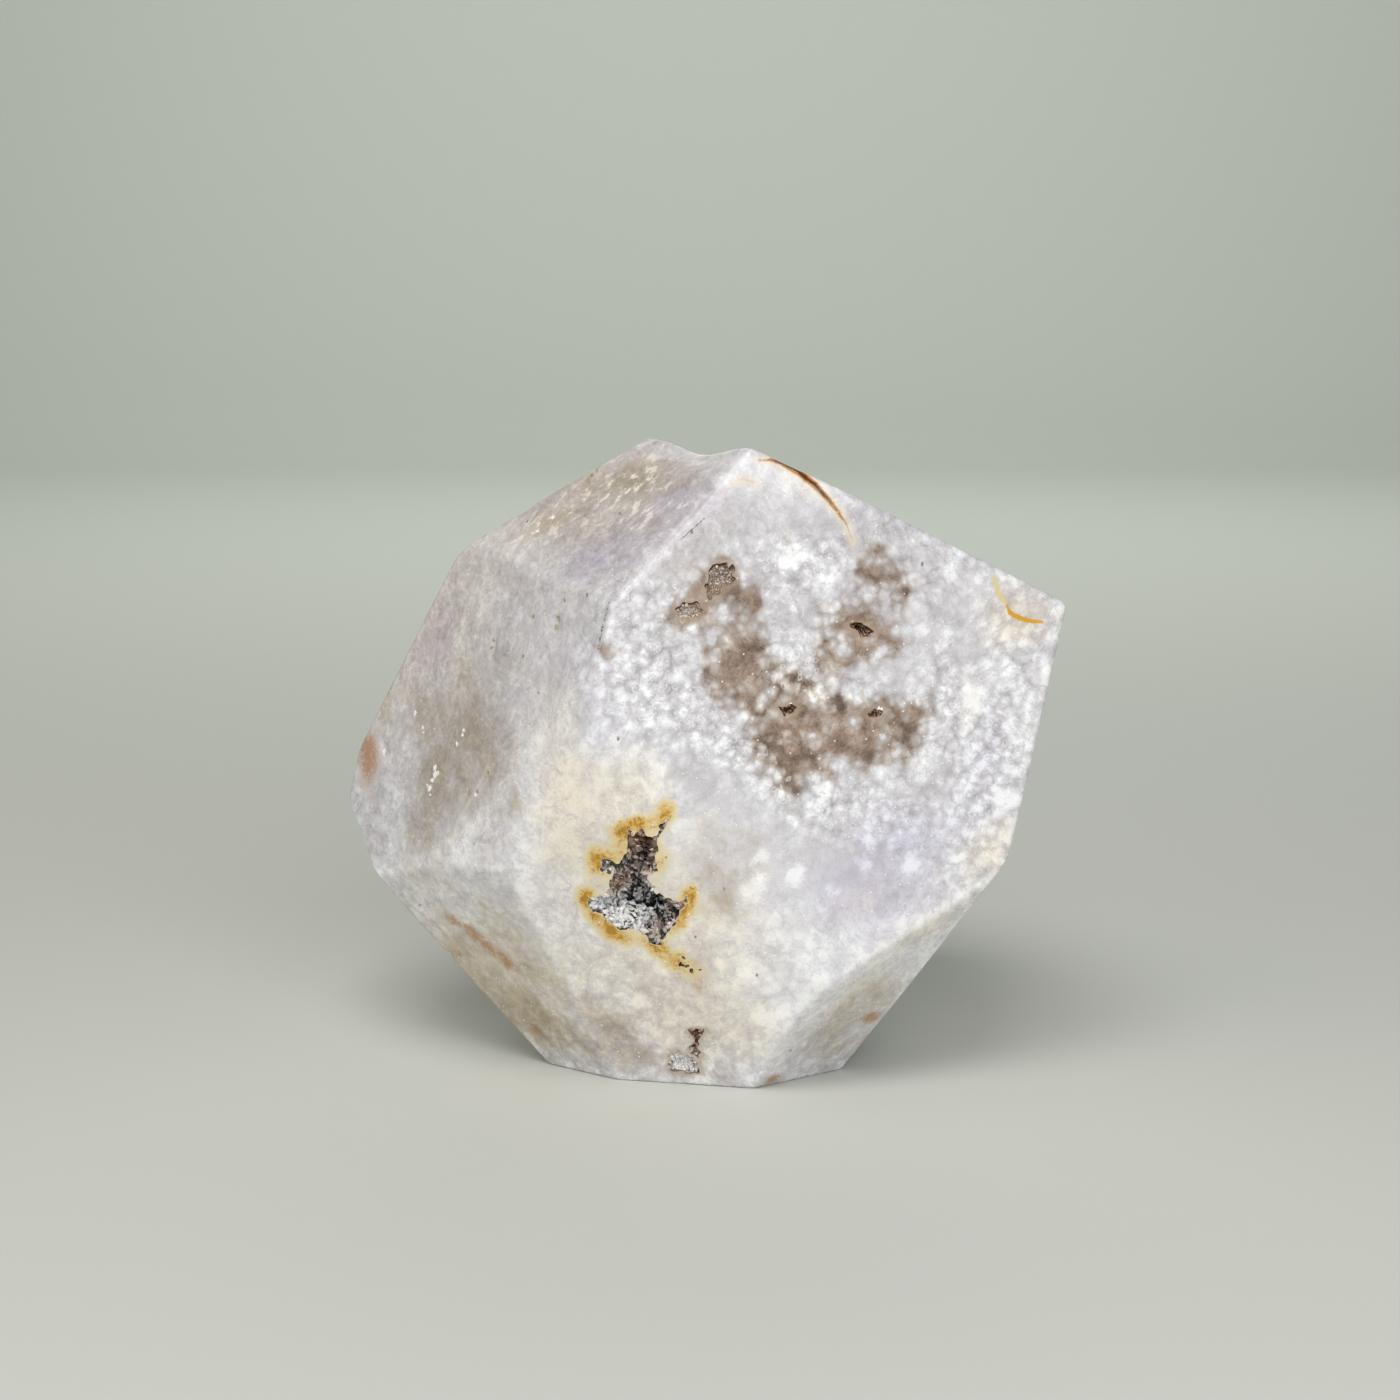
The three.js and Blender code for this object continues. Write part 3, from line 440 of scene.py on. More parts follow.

# The hollows. Each has ragged outlines on its facet, a least depth that is called shallow, and bowls that
# sink its
# floor further: x, y, wide, tall, turn in degrees, deep. The tints of its crystals: x, y, wide, tall,
# strength; the dark tint is painted shade where the hollow lies in shadow. The crystals are a little coarser
# than the real ones, so that they show.
hollows = {
    "main_druse": {
        "facet": "brow", "across": -4, "up": -2.5, "ragged": 0.85, "spacing": 0.15, "shallow": 0.9,
        "outlines": [[
            (3.7, 8.2), (3.4, 7.4), (2.5, 6.6), (2.5, 5.6), (2.3, 4.1), (2.1, 2.7), (1.6, 1.6), (1.6, 0.5),
            (2.5, -0.6), (3.5, -1.5), (4.3, -1.3), (5.3, -0.5), (5, -1.6), (4.4, -2.4), (4.1, -3.2),
            (3.2, -4.6), (2.5, -5.6), (2, -6.6), (0.8, -6.5), (0.5, -5.5), (-0.5, -5.2), (-1.7, -5.6),
            (-2.8, -5.2), (-3.6, -3.9), (-5, -3), (-5.8, -1.9), (-5.2, -1.3), (-3.7, -0.6), (-2.9, 0.7),
            (-2.6, 1.9), (-3.9, 2.2), (-3.6, 3.7), (-2.2, 3.3), (-0.8, 4.4), (-0.6, 5.6), (-0.2, 7.2),
            (0.4, 6.8), (1.2, 7.3), (2, 6.4), (3, 7.8)]],
        "bowls": [
            (1.1, 5.6, 1.5, 1.7, 0, 2.9), (0.6, 2.8, 1.6, 2.4, 0, 3.6), (-1.9, 2.6, 1.6, 0.9, 16, 2.2),
            (-0.8, 0.6, 1.9, 1.9, 0, 2.4), (0.6, -1.9, 3.1, 2.3, -24, 6.2), (-2.6, -2.2, 2.6, 1.3, -10, 1.9),
            (1.3, -4.7, 1.9, 1.5, 0, 2.6),
        ],
        "tints": {
            "iron": [(0.8, 5.4, 2.4, 2.4, 1), (0, 2.4, 2.8, 2.2, 0.75), (-2.2, 0.2, 1.6, 1.6, 0.7),
                (-2.8, 2.9, 1.4, 1, 0.6), (4.4, -1.6, 1.4, 1.2, 0.8), (1.4, -5.9, 1.4, 1, 0.6),
                (3.4, -3.6, 0.9, 1.4, 0.6), (-2, 3, 2, 0.7, 0.8)],
            "tan": [(-2.6, 0.4, 1.1, 1.2, 0.8), (0.9, 5.6, 2, 2.1, 1)],
            "milkyAndGlint": [(-4.4, -2.4, 1.6, 0.9, 1.3), (-2.9, -4, 1.6, 0.9, 1.3), (-0.4, -5, 1.6, 0.6, 1),
                (1.2, 1.2, 0.9, 2, 0.9), (1, -6, 1.3, 0.6, 0.9), (0.6, -1.6, 2.2, 1.6, 0.5),
                (-3.2, 2.6, 0.5, 0.6, 0.7), (-3.4, -0.9, 1.8, 0.4, 0.8)],
            # painted shade: the dark tint darkens where the hollow lies in shadow
            "paintedShade": [(1.4, -1.6, 2.2, 1.5, 0.45), (-1, 3.3, 0.8, 0.4, 0.7), (1.8, 2.6, 0.5, 1, 0.8),
                (0.5, 5.2, 0.5, 0.8, 0.5)],
        },
        "crystals": {"width": 0.44, "length": 1, "apart": 0.31, "seed": 4},
    },
    "low_druse": {
        "facet": "brow", "across": 0.5, "up": -11.6, "ragged": 0.5, "spacing": 0.12, "shallow": 0.7,
        "outlines": [
            [(-0.5, 0.9), (-0.1, 1.2), (0.2, 0.8), (0, 0.4), (-0.3, 0.5)],
            [(-0.9, 0.1), (-0.5, 0.3), (-0.1, 0), (0.3, 0.2), (0.5, -0.2), (0.1, -0.5), (-0.4, -0.3),
             (-0.8, -0.4)],
            [(0.3, -0.7), (0.7, -0.5), (0.9, -0.9), (0.5, -1.3), (0.2, -1.1)],
            [(1.4, -0.6), (1.8, -0.5), (1.9, -0.8), (1.5, -0.9)]],
        "bowls": [(0, 0, 0.8, 1.2, 0, 1.4)],
        "tints": {
            "iron": [(0, 0, 2, 2, 1)],
            "tan": [(0, 0, 2, 2, 0.85)],
            "paintedShade": [(0, 0.3, 0.8, 1, 0.3)],
        },
        "crystals": {"width": 0.22, "length": 0.4, "apart": 0.18, "seed": 9},
    },
    "foot_druse": {
        "facet": "brow", "across": 0.2, "up": -23, "ragged": 1, "spacing": 0.13, "shallow": 0.5,
        "outlines": [
            [(0.3, 3), (1.6, 2.8), (1.3, 1.7), (1, 0.6), (1.3, -0.3), (0.8, -0.9), (0.2, -0.4), (0.1, 0.7),
             (0.5, 1.6), (0.1, 2.3)],
            [(-2.4, -0.7), (-1.5, -0.1), (-0.6, -0.6), (0.1, -1.1), (0.9, -1.6), (0.8, -2.8), (-0.4, -3.2),
             (-1.8, -3), (-2.6, -1.8)]],
        "bowls": [(0.7, 1, 0.5, 2, -8, 2.2), (-0.8, -1.8, 1.6, 1.2, 0, 0.5)],
        "tints": {
            "iron": [(0.7, 1.2, 0.8, 1.8, 0.9)],
            "tan": [(0.7, 1.2, 1.2, 2.4, 0.8), (-0.9, -1.8, 2.4, 2, 0.2)],
            "milkyAndGlint": [(-0.9, -1.8, 2.4, 2.2, 1.3)],
        },
        "crystals": {"width": 0.34, "length": 0.5, "apart": 0.25, "seed": 12},
    },
    "upper_left_druse": {
        "facet": "front", "across": -6.4, "up": 21.3, "ragged": 1.1, "spacing": 0.14, "shallow": 0.5,
        "outlines": [
            [(-0.6, 0.5), (-0.2, 1.8), (0.6, 3.1), (1.6, 3.4), (2.4, 2.4), (2.4, 1.2), (1.4, 0.5),
             (0.7, -0.4), (-0.2, -0.3)],
            [(-3.4, -1.4), (-2.6, -0.8), (-1.6, -0.7), (-0.8, -1.4), (-1.3, -2.4), (-2.2, -2.6),
             (-3.2, -2.2)]],
        "bowls": [(0.9, 1.6, 1.3, 0.9, 50, 0.35), (-2.1, -1.6, 1.4, 0.9, 0, 0.25)],
        "tints": {
            "iron": [(0, 0, 4, 4, 0.45)],
            "milkyAndGlint": [(-1.6, -1.8, 2.2, 1.4, 1.2), (0.8, 1.6, 2, 2, 0.8)],
            "tan": [(0, 0, 5, 5, 0.9)],
        },
        "crystals": {"width": 0.28, "length": 0.34, "apart": 0.22, "seed": 15},
    },
    "upper_right_druse": {
        "facet": "front", "across": 9.8, "up": 17.1, "ragged": 0.5, "spacing": 0.13, "shallow": 0.3,
        "outlines": [[
            (-1.3, 0.6), (-0.6, 0.8), (0.3, 0.4), (1.2, 0.1), (1.5, -0.4), (0.9, -0.8), (0.1, -0.6),
            (-0.5, -0.2), (-1.2, 0.1)]],
        "bowls": [(0, 0, 1.1, 0.55, -20, 1.9)],
        "tints": {
            "iron": [(0, 0, 4, 4, 0.9)],
            "tan": [(0, 0, 1.6, 1, 0.8), (1.8, -0.8, 1, 0.8, 1), (-1.7, 0.8, 0.9, 0.6, 1)],
            "paintedShade": [(0.3, 0.1, 0.5, 0.3, 0.4)],
            "milkyAndGlint": [(1.6, -0.8, 1, 0.6, 0.6), (-1.5, 0.8, 0.8, 0.5, 0.4)],
        },
        "crystals": {"width": 0.25, "length": 0.36, "apart": 0.2, "seed": 18},
    },
    "middle_druse": {
        "facet": "front", "across": 1.8, "up": 8.8, "ragged": 0.4, "spacing": 0.13, "shallow": 0.5,
        "outlines": [[
            (-1.1, 0.4), (-0.4, 0.3), (0.4, 0.6), (0.9, 0.4), (0.7, -0.1), (0.3, -0.4), (-0.1, -0.4),
            (-0.3, -0.8), (-0.6, -0.1)]],
        "bowls": [(0.1, 0, 0.8, 0.6, 0, 1.8)],
        "tints": {
            "iron": [(0, 0, 3, 3, 0.85)],
            "tan": [(0, 0, 1.6, 1.2, 0.7)],
            "paintedShade": [(0, -0.1, 0.6, 0.4, 0.5)],
            # the white tint here is a painted glint on one crystal face
            "milkyAndGlint": [(0.1, 0.8, 0.5, 0.25, 0.9)],
        },
        "crystals": {"width": 0.25, "length": 0.36, "apart": 0.2, "seed": 21},
    },
    "right_druse": {
        "facet": "front", "across": 11.3, "up": 8.1, "ragged": 0.4, "spacing": 0.13, "shallow": 0.4,
        "outlines": [[
            (-0.8, 0.2), (-0.1, 0.5), (0.5, 0.6), (1.1, 0.4), (0.8, -0.1), (0.3, -0.5), (-0.4, -0.3)]],
        "bowls": [(0.2, 0, 0.8, 0.5, 10, 1.5)],
        "tints": {
            "iron": [(0, 0, 3, 3, 0.8)],
            "tan": [(-0.2, 0, 1.4, 1.2, 0.7)],
            "paintedShade": [(0, 0, 0.6, 0.4, 0.4)],
            # the white tint here is a painted glint on one crystal face
            "milkyAndGlint": [(0.45, 0.25, 0.45, 0.35, 1.4)],
        },
        "crystals": {"width": 0.32, "length": 0.5, "apart": 0.24, "seed": 24},
    },
    "back_druse": {
        "facet": "back", "across": 3.5, "up": -7, "ragged": 0.9, "spacing": 0.15, "shallow": 0.7,
        "outlines": [[
            (-3.8, 0.6), (-2.8, 2.2), (-1.2, 2.6), (0.4, 2.3), (1, 1.2), (2.6, 1), (3.5, -0.4), (2.6, -2),
            (1.2, -2.4), (0, -1.6), (-1, -0.9), (-2.6, -1)]],
        "bowls": [(-1.4, 0.9, 1.9, 1.4, 10, 1.9), (1.5, -0.6, 1.5, 1.2, -15, 1.6)],
        "tints": {
            "iron": [(1, 0, 2.6, 2.4, 0.7)],
            "milkyAndGlint": [(-2, 0.9, 2, 1.6, 1), (1.8, -0.6, 1.4, 1.2, 0.6)],
            "tan": [(0, 0, 3, 2, 0.3)],
            "paintedShade": [(0, 0, 0.8, 0.6, 0.3)],
        },
        "crystals": {"width": 0.4, "length": 0.7, "apart": 0.3, "seed": 27},
    },
}

crustForm = {
    "lining": 0.4, "thick": 0.35, "recess": 0.05,        # room for the crust, its sheet and its set-back
    "wall": 0.4,                                         # width of the slope at the rim
    "lumps": 0.18, "lumpSize": 0.9, "lumpsFrom": 0.6,    # unevenness, full from so far inside the rim
    "growthDepth": 0.5,                                  # crystals start at a share of this depth
    "ragged": (0.34, 1.3), "frayed": (0.42, 0.48),       # how far an outline strays, and over what length
}

# The crystals: their parts as shares of the whole, their lean, the share of the growth depth from which
# they grow, how their sizes vary, and the most of them on a square metre.
crystalForm = {"column": 0.62, "foot": 0.42, "head": 0.5, "sunk": 0.25, "lean": 0.75, "from": 0.35,
               "smallest": 0.6, "largest": 1.25, "most": 4.0e7}
# the crystals' tints: iron and tan are their own colours, the dark tint is painted shade, the white tint is
# milky quartz and painted glints
quartzTints = ("iron", "milkyAndGlint", "paintedShade", "tan")


def markField(points, name):
    # How strongly one kind of mark shows, from 0 to 1.
    clear = np.ones(len(points))
    for facet, places in marks[name].items():
        for across, up, wide, tall, turn, amount in places:
            x, y, out = onFacet(points, facet, across, up).T
            x, y = turned(x, y, turn)
            clear = clear * (1 - min(amount, 1) * softSpot(x, y, out, wide, tall))
    return 1 - clear


def spotDistance(points, name):
    # Distance to the nearest spot of a kind, in radii of that spot.
    nearest = np.full(len(points), farAway)
    for facet, places in spots[name].items():
        for across, up, radius in places:
            away = np.linalg.norm(points - placeOn(facet, across, up), axis=1)
            nearest = np.minimum(nearest, away / radius)
    return nearest


def lineField(points, name):
    # Distance in mm from the side of the nearest line of a kind. Inside the line it is negative.
    nearest = np.full(len(points), farAway)
    for facet, line in lines[name]:
        x, y, out = onFacet(points, facet).T
        beyond = np.maximum(abs(out) - 1.1, 0)               # it ends soon after the facet's edge
        for (*start, startWide), (*end, endWide) in zip(line, line[1:]):
            part, away = alongLine(x, y, start, end)
            away = np.hypot(away, beyond) - startWide - part * (endWide - startWide)
            nearest = np.minimum(nearest, away)
    return nearest


def raggedPlace(x, y, hollow):
    # The place where a smooth outline is read, which makes the outline ragged.
    flat = np.stack([x, y, np.full(len(x), hollow["crystals"]["seed"] * 3.7)], axis=1)
    for amount, size in (crustForm["ragged"], crustForm["frayed"]):
        x = x + hollow["ragged"] * amount * softNoise(flat, size, 31)
        y = y + hollow["ragged"] * amount * softNoise(flat, size, 32)
    return x, y


def outlineOf(x, y, hollow):
    # How far a place on the facet is outside the hollow. Inside is negative.
    x, y = raggedPlace(x, y, hollow)
    nearest = np.full(len(x), np.inf)
    inside = np.zeros(len(x), bool)
    for outline in hollow["outlines"]:
        for (ax, ay), (bx, by) in zip(outline, outline[1:] + outline[:1]):
            nearest = np.minimum(nearest, alongLine(x, y, (ax, ay), (bx, by))[1])
            if ay != by:
                crosses = ((ay > y) != (by > y)) & (x < ax + (y - ay) * (bx - ax) / (by - ay))
                inside ^= crosses
    return np.where(inside, -nearest, nearest)


def depthOf(x, y, hollow):
    # How deep the crust lies under the facet.
    outside = outlineOf(x, y, hollow)
    x, y = raggedPlace(x, y, hollow)
    total = np.zeros(len(x))
    for bowlX, bowlY, wide, tall, turn, deep in hollow["bowls"]:
        along, over = turned(x - bowlX, y - bowlY, turn)
        share = np.clip(1 - (along / wide) ** 2 - (over / tall) ** 2, 0, 1)
        total += (deep * share ** 0.6) ** 3                  # bowls that meet run into each other
    wall = np.clip(-outside / crustForm["wall"], 0, 1)
    return (hollow["shallow"] + total ** (1 / 3)) * wall ** 0.7


def ontoOutline(x, y, hollow, step=0.02):
    # Moves places to the nearest point of the outline.
    for _ in range(4):
        here = outlineOf(x, y, hollow)
        dx = (outlineOf(x + step, y, hollow) - outlineOf(x - step, y, hollow)) / (2 * step)
        dy = (outlineOf(x, y + step, hollow) - outlineOf(x, y - step, hollow)) / (2 * step)
        size = np.maximum(dx * dx + dy * dy, 0.2)
        x, y = x - here * dx / size * 0.8, y - here * dy / size * 0.8
    return x, y


def polishedReach(directions):
    # Distance from the heart to the polished surface, without the hollows.
    slopes = directions @ facetNormals.T
    lateral = 1 - slopes ** 2
    dome = np.where(facetNormals[:, 2] < -0.99, 0, 0.5 / stoneForm["dome"])     # the foot isn't domed
    with np.errstate(divide="ignore"):
        reach = np.where(slopes > 1e-6, facetReaches / slopes, 1e9).min(1)
    sharp = heart + directions * reach[:, None]
    soft = stoneForm["edge"] + stoneForm["edgeVaries"] * softNoise(sharp, stoneForm["edgeSize"], 3)
    for facet, across, up, over, softer in stoneForm["worn"]:
        away = np.linalg.norm(sharp - placeOn(facet, across, up), axis=1)
        soft = soft + softer * np.exp(-(away / over) ** 2)
    for _ in range(9):                                       # finds where the blended facets lie
        far = reach[:, None]
        field = (far * slopes - facetReaches + dome * lateral * far ** 2) / soft[:, None]
        top = field.max(1)
        weight = np.exp(field - top[:, None])
        total = weight.sum(1)
        climb = (weight * (slopes + 2 * dome * lateral * far)).sum(1) / total
        reach = reach - soft * (top + np.log(total)) / climb
    points = heart + directions * reach[:, None]
    standing = np.clip(points[:, 2] / 3, 0, 1)           # the foot stays flat
    reach = reach + standing * (stoneForm["wave"] * softNoise(points, stoneForm["waveSize"], 5)
                                + stoneForm["ripple"] * softNoise(points, stoneForm["rippleSize"], 6))
    for facet, across, up, wide, tall, deep in stoneForm["dents"]:
        reach = reach - deep * softSpot(*onFacet(points, facet, across, up).T, wide, tall)
    return reach


def standsOut(points):
    # How far places stand out of the polished surface, seen from the heart, and their directions.
    arms = points - heart
    far = np.linalg.norm(arms, axis=1)
    directions = arms / far[:, None]
    return far - polishedReach(directions), directions


def edgeNearness(points):
    # Small near an edge: how much the nearest facet leads the next one.
    height = (points - heart) @ facetNormals.T - facetReaches
    order = np.sort(height, axis=1)
    return order[:, -1] - order[:, -2]


def wantedSpacing(points):
    # How long the sides of the triangles may be at each place.
    spacing = stoneForm["spacing"]
    wanted = np.full(len(points), spacing["open"])
    for facet, across, up, over in stoneForm["finer"]:
        x, y, out = onFacet(points, facet, across, up).T
        wanted[(x * x + y * y < over * over) & (abs(out) < 3)] = spacing["finer"]
    wanted[edgeNearness(points) < stoneForm["edgeReach"]] = spacing["edge"]
    for facet, across, up, wide, tall, deep in stoneForm["dents"]:
        near = inBox(*onFacet(points, facet, across, up).T, 2 * wide, 2 * tall, 2)
        wanted[near] = np.minimum(wanted[near], max(spacing["dent"], min(wide, tall) / 4))
    for name in lines:
        far = lineField(points, name)
        fine = spacing["hair" if name == "healed" else "line"]
        byLine = np.where(far < stoneForm["byLineReach"], spacing["byLine"], farAway)
        wanted = np.minimum(wanted, np.where(far < stoneForm["lineReach"], fine, byLine))
    wanted = np.minimum(wanted, np.where(spotDistance(points, "glints") < 2, spacing["glint"], farAway))
    for hollow in hollows.values():
        x, y, out = onFacet(points, hollow["facet"], hollow["across"], hollow["up"]).T
        near = np.flatnonzero(inBox(x, y, out, 9, 11, 2.5))
        outside = outlineOf(x[near], y[near], hollow)
        rim = hollow["spacing"] + np.clip(abs(outside) - 0.3, 0, farAway) * 0.5
        inside = np.where(outside < -0.3, np.maximum(rim, 0.3), rim)
        wanted[near] = np.minimum(wanted[near], inside)
    return wanted


def splitFaces(faces, middles):
    # Splits triangles at the middles of their long sides. A middle of -1 leaves the side whole.
    a, b, c = faces.T
    p, q, r = middles.T
    marked = (p >= 0) * 1 + (q >= 0) * 2 + (r >= 0) * 4
    whole, every = marked == 0, marked == 7
    pieces = [faces[whole]]
    for corners in ((a, p, r), (p, b, q), (r, q, c), (p, q, r)):
        pieces.append(np.stack(corners, axis=1)[every])
    for one, two, corners in ((1, 3, (a, b, c, p, q)), (2, 6, (b, c, a, q, r)), (4, 5, (c, a, b, r, p))):
        first, second, third, m, n = corners
        chosen = marked == one
        for tri in ((first, m, third), (m, second, third)):
            pieces.append(np.stack(tri, axis=1)[chosen])
        chosen = marked == two
        for tri in ((m, second, n), (first, m, n), (first, n, third)):
            pieces.append(np.stack(tri, axis=1)[chosen])
    return np.concatenate(pieces)


def sidesOf(faces):
    # The sides of the triangles, each once, and the numbers of the three sides of each triangle.
    pairs = np.sort(np.concatenate([faces[:, [0, 1]], faces[:, [1, 2]], faces[:, [2, 0]]]), axis=1)
    sides, index = np.unique(pairs, axis=0, return_inverse=True)
    return sides, index.reshape(3, -1).T


def roundBall(levels):
    bpy.ops.mesh.primitive_ico_sphere_add(subdivisions=levels, radius=1)
    ball = bpy.context.object
    directions = np.array([v.co for v in ball.data.vertices])
    faces = np.array([p.vertices for p in ball.data.polygons])
    bpy.data.objects.remove(ball)
    return unit(directions), faces


def meshStone():
    # A ball of directions, split where the stone needs finer triangles, then set on its surface.
    directions, faces = roundBall(stoneForm["ballLevels"])
    for _ in range(stoneForm["splits"]):
        points = heart + directions * polishedReach(directions)[:, None]
        sides, index = sidesOf(faces)
        ends = points[sides]
        length = np.linalg.norm(ends[:, 0] - ends[:, 1], axis=1)
        tooLong = length > wantedSpacing(ends.mean(1)) * stoneForm["splitOver"]
        if not tooLong.any():
            break
        numbers = np.full(len(sides), -1)
        numbers[tooLong] = len(directions) + np.arange(tooLong.sum())
        directions = np.concatenate([directions, unit(directions[sides[tooLong]].sum(1))])
        faces = splitFaces(faces, numbers[index])
    sides, index = sidesOf(faces)
    for _ in range(stoneForm["evenings"]):
        total = np.zeros_like(directions)
        np.add.at(total, sides[:, 0], directions[sides[:, 1]])
        np.add.at(total, sides[:, 1], directions[sides[:, 0]])
        directions = unit(directions + unit(total))
    return directions, faces, sides


def carveHollows(directions, sides):
    # Puts mesh points on each hollow's outline and sinks those inside it. Returns the distance to the
    # nearest outline too, for the stains round the hollows.
    points = heart + directions * polishedReach(directions)[:, None]
    stained, plain = np.full(len(points), farAway), np.full(len(points), farAway)
    for name, hollow in hollows.items():
        foot, side, upwards, out = facetFrame(hollow["facet"])
        x, y, w = onFacet(points, hollow["facet"], hollow["across"], hollow["up"]).T
        near = inBox(x, y, w, 12, 13, 3)
        outside = np.full(len(points), farAway)
        outside[near] = outlineOf(x[near], y[near], hollow)
        ends = outside[sides]
        crossing = (ends[:, 0] < 0) != (ends[:, 1] < 0)
        nearer = np.where(abs(ends[:, 0]) < abs(ends[:, 1]), sides[:, 0], sides[:, 1])[crossing]
        rim = np.unique(nearer[abs(outside[nearer]) < 1])
        newX, newY = ontoOutline(x[rim], y[rim], hollow)
        points[rim] += np.outer(newX - x[rim], side) + np.outer(newY - y[rim], upwards)
        outside[rim] = 0
        inside = np.flatnonzero(outside < 0)
        depth = depthOf(x[inside], y[inside], hollow) + crustForm["lining"]
        points[inside] -= np.outer(depth, out)
        if name in ("main_druse", "low_druse"):
            stained = np.minimum(stained, outside)
        else:
            plain = np.minimum(plain, outside)
    return points, stained, plain


def addAttribute(mesh, name, values):
    mesh.attributes.new(name, "FLOAT", "POINT").data.foreach_set("value", values.astype(np.float32))


def newObject(name, points, faces):
    mesh = bpy.data.meshes.new(name)
    mesh.from_pydata((points * mm).tolist(), [], faces.tolist())
    mesh.validate()
    piece = bpy.data.objects.new(name, mesh)
    bpy.context.scene.collection.objects.link(piece)
    return piece


def buildStone():
    directions, faces, sides = meshStone()
    points, stained, plain = carveHollows(directions, sides)
    points[:, 2] = np.maximum(points[:, 2], 0)
    stone = newObject("polished_stone", points, faces)
    addAttribute(stone.data, "stainedRim", stained)
    addAttribute(stone.data, "plainRim", plain)
    # a painted highlight: the tone is lighter near each facet's edge
    addAttribute(stone.data, "edges", np.exp(-(edgeNearness(points) / 0.35) ** 2))
    for table, field in ((marks, markField), (spots, spotDistance), (lines, lineField)):
        for name in table:
            addAttribute(stone.data, name, field(points, name))
    stone.data.shade_smooth()
    stone.data.set_sharp_from_angle(angle=math.radians(stoneForm["sharpFrom"]))
    print("stone triangles:", len(faces))
    return stone


def crustSheet(name, hollow):
    # The crust's own skin: a closed sheet that follows the hollow, with lumps.
    step = hollow["spacing"]
    bowls = np.array(hollow["bowls"])
    reach = bowls[:, 2:4].max(1) + 1
    xs = np.arange((bowls[:, 0] - reach).min(), (bowls[:, 0] + reach).max(), step)
    ys = np.arange((bowls[:, 1] - reach).min(), (bowls[:, 1] + reach).max(), step)
    x, y = (v.ravel() for v in np.meshgrid(xs, ys, indexing="ij"))
    outside = outlineOf(x, y, hollow)
    number = np.arange(len(x)).reshape(len(xs), len(ys))
    quads = np.stack([number[:-1, :-1], number[1:, :-1], number[1:, 1:], number[:-1, 1:]], axis=-1)
    quads = quads.reshape(-1, 4)
    quads = quads[(outside[quads] < 0).sum(1) >= 2]
    used, quads = np.unique(quads, return_inverse=True)
    quads = quads.reshape(-1, 4)
    x, y, outside = x[used], y[used], outside[used]
    edge = outside > 0
    x[edge], y[edge] = ontoOutline(x[edge], y[edge], hollow)
    flat = np.stack([x, y, np.full(len(x), 5.0 * hollow["crystals"]["seed"])], axis=1)
    lumps = crustForm["lumps"] * softNoise(flat, crustForm["lumpSize"], 41)
    lumps = lumps * np.clip(-outside / crustForm["lumpsFrom"], 0, 1)
    depth = np.where(edge, 0, depthOf(x, y, hollow) + lumps)
    foot, side, upwards, out = facetFrame(hollow["facet"])
    skin = placeOn(hollow["facet"], hollow["across"], hollow["up"]) + np.outer(x, side) + np.outer(y, upwards)
    over, directions = standsOut(skin)                   # the facet falls away towards its worn edges
    skin = skin - directions * over[:, None] - np.outer(crustForm["recess"] + np.maximum(depth, 0), out)
    under = skin - out * crustForm["thick"]
    pairs = np.concatenate([quads[:, [0, 1]], quads[:, [1, 2]], quads[:, [2, 3]], quads[:, [3, 0]]])
    known = {tuple(p) for p in pairs.tolist()}
    border = np.array([p for p in pairs.tolist() if (p[1], p[0]) not in known])
    count = len(skin)
    skirt = np.stack([border[:, 1], border[:, 0], border[:, 0] + count, border[:, 1] + count], axis=1)
    faces = np.concatenate([quads, quads[:, ::-1] + count, skirt])
    sheet = newObject(name, np.concatenate([skin, under]), faces)
    grows = np.clip(depth / crustForm["growthDepth"], 0, 1)
    addAttribute(sheet.data, "grows", np.concatenate([grows, np.zeros(count)]))
    for kind in quartzTints:                             # the underside is tinted like the top
        strength = np.zeros(count)
        for tintX, tintY, wide, tall, amount in hollow["tints"].get(kind, ()):
            strength = np.maximum(strength, amount * softSpot(x - tintX, y - tintY, 0, wide, tall))
        addAttribute(sheet.data, kind, np.tile(strength, 2))
    return sheet


def addNode(tree, kind, links=None, **settings):
    # Adds a node with its settings. An input takes a socket, a node for its first output, or a value.
    node = tree.nodes.new(kind)
    for key, value in settings.items():
        setattr(node, key, value)
    for socket, source in (links or {}).items():
        if isinstance(source, bpy.types.Node):
            source = source.outputs[0]
        if isinstance(source, bpy.types.NodeSocket):
            tree.links.new(source, node.inputs[socket])
        else:
            node.inputs[socket].default_value = source
    return node


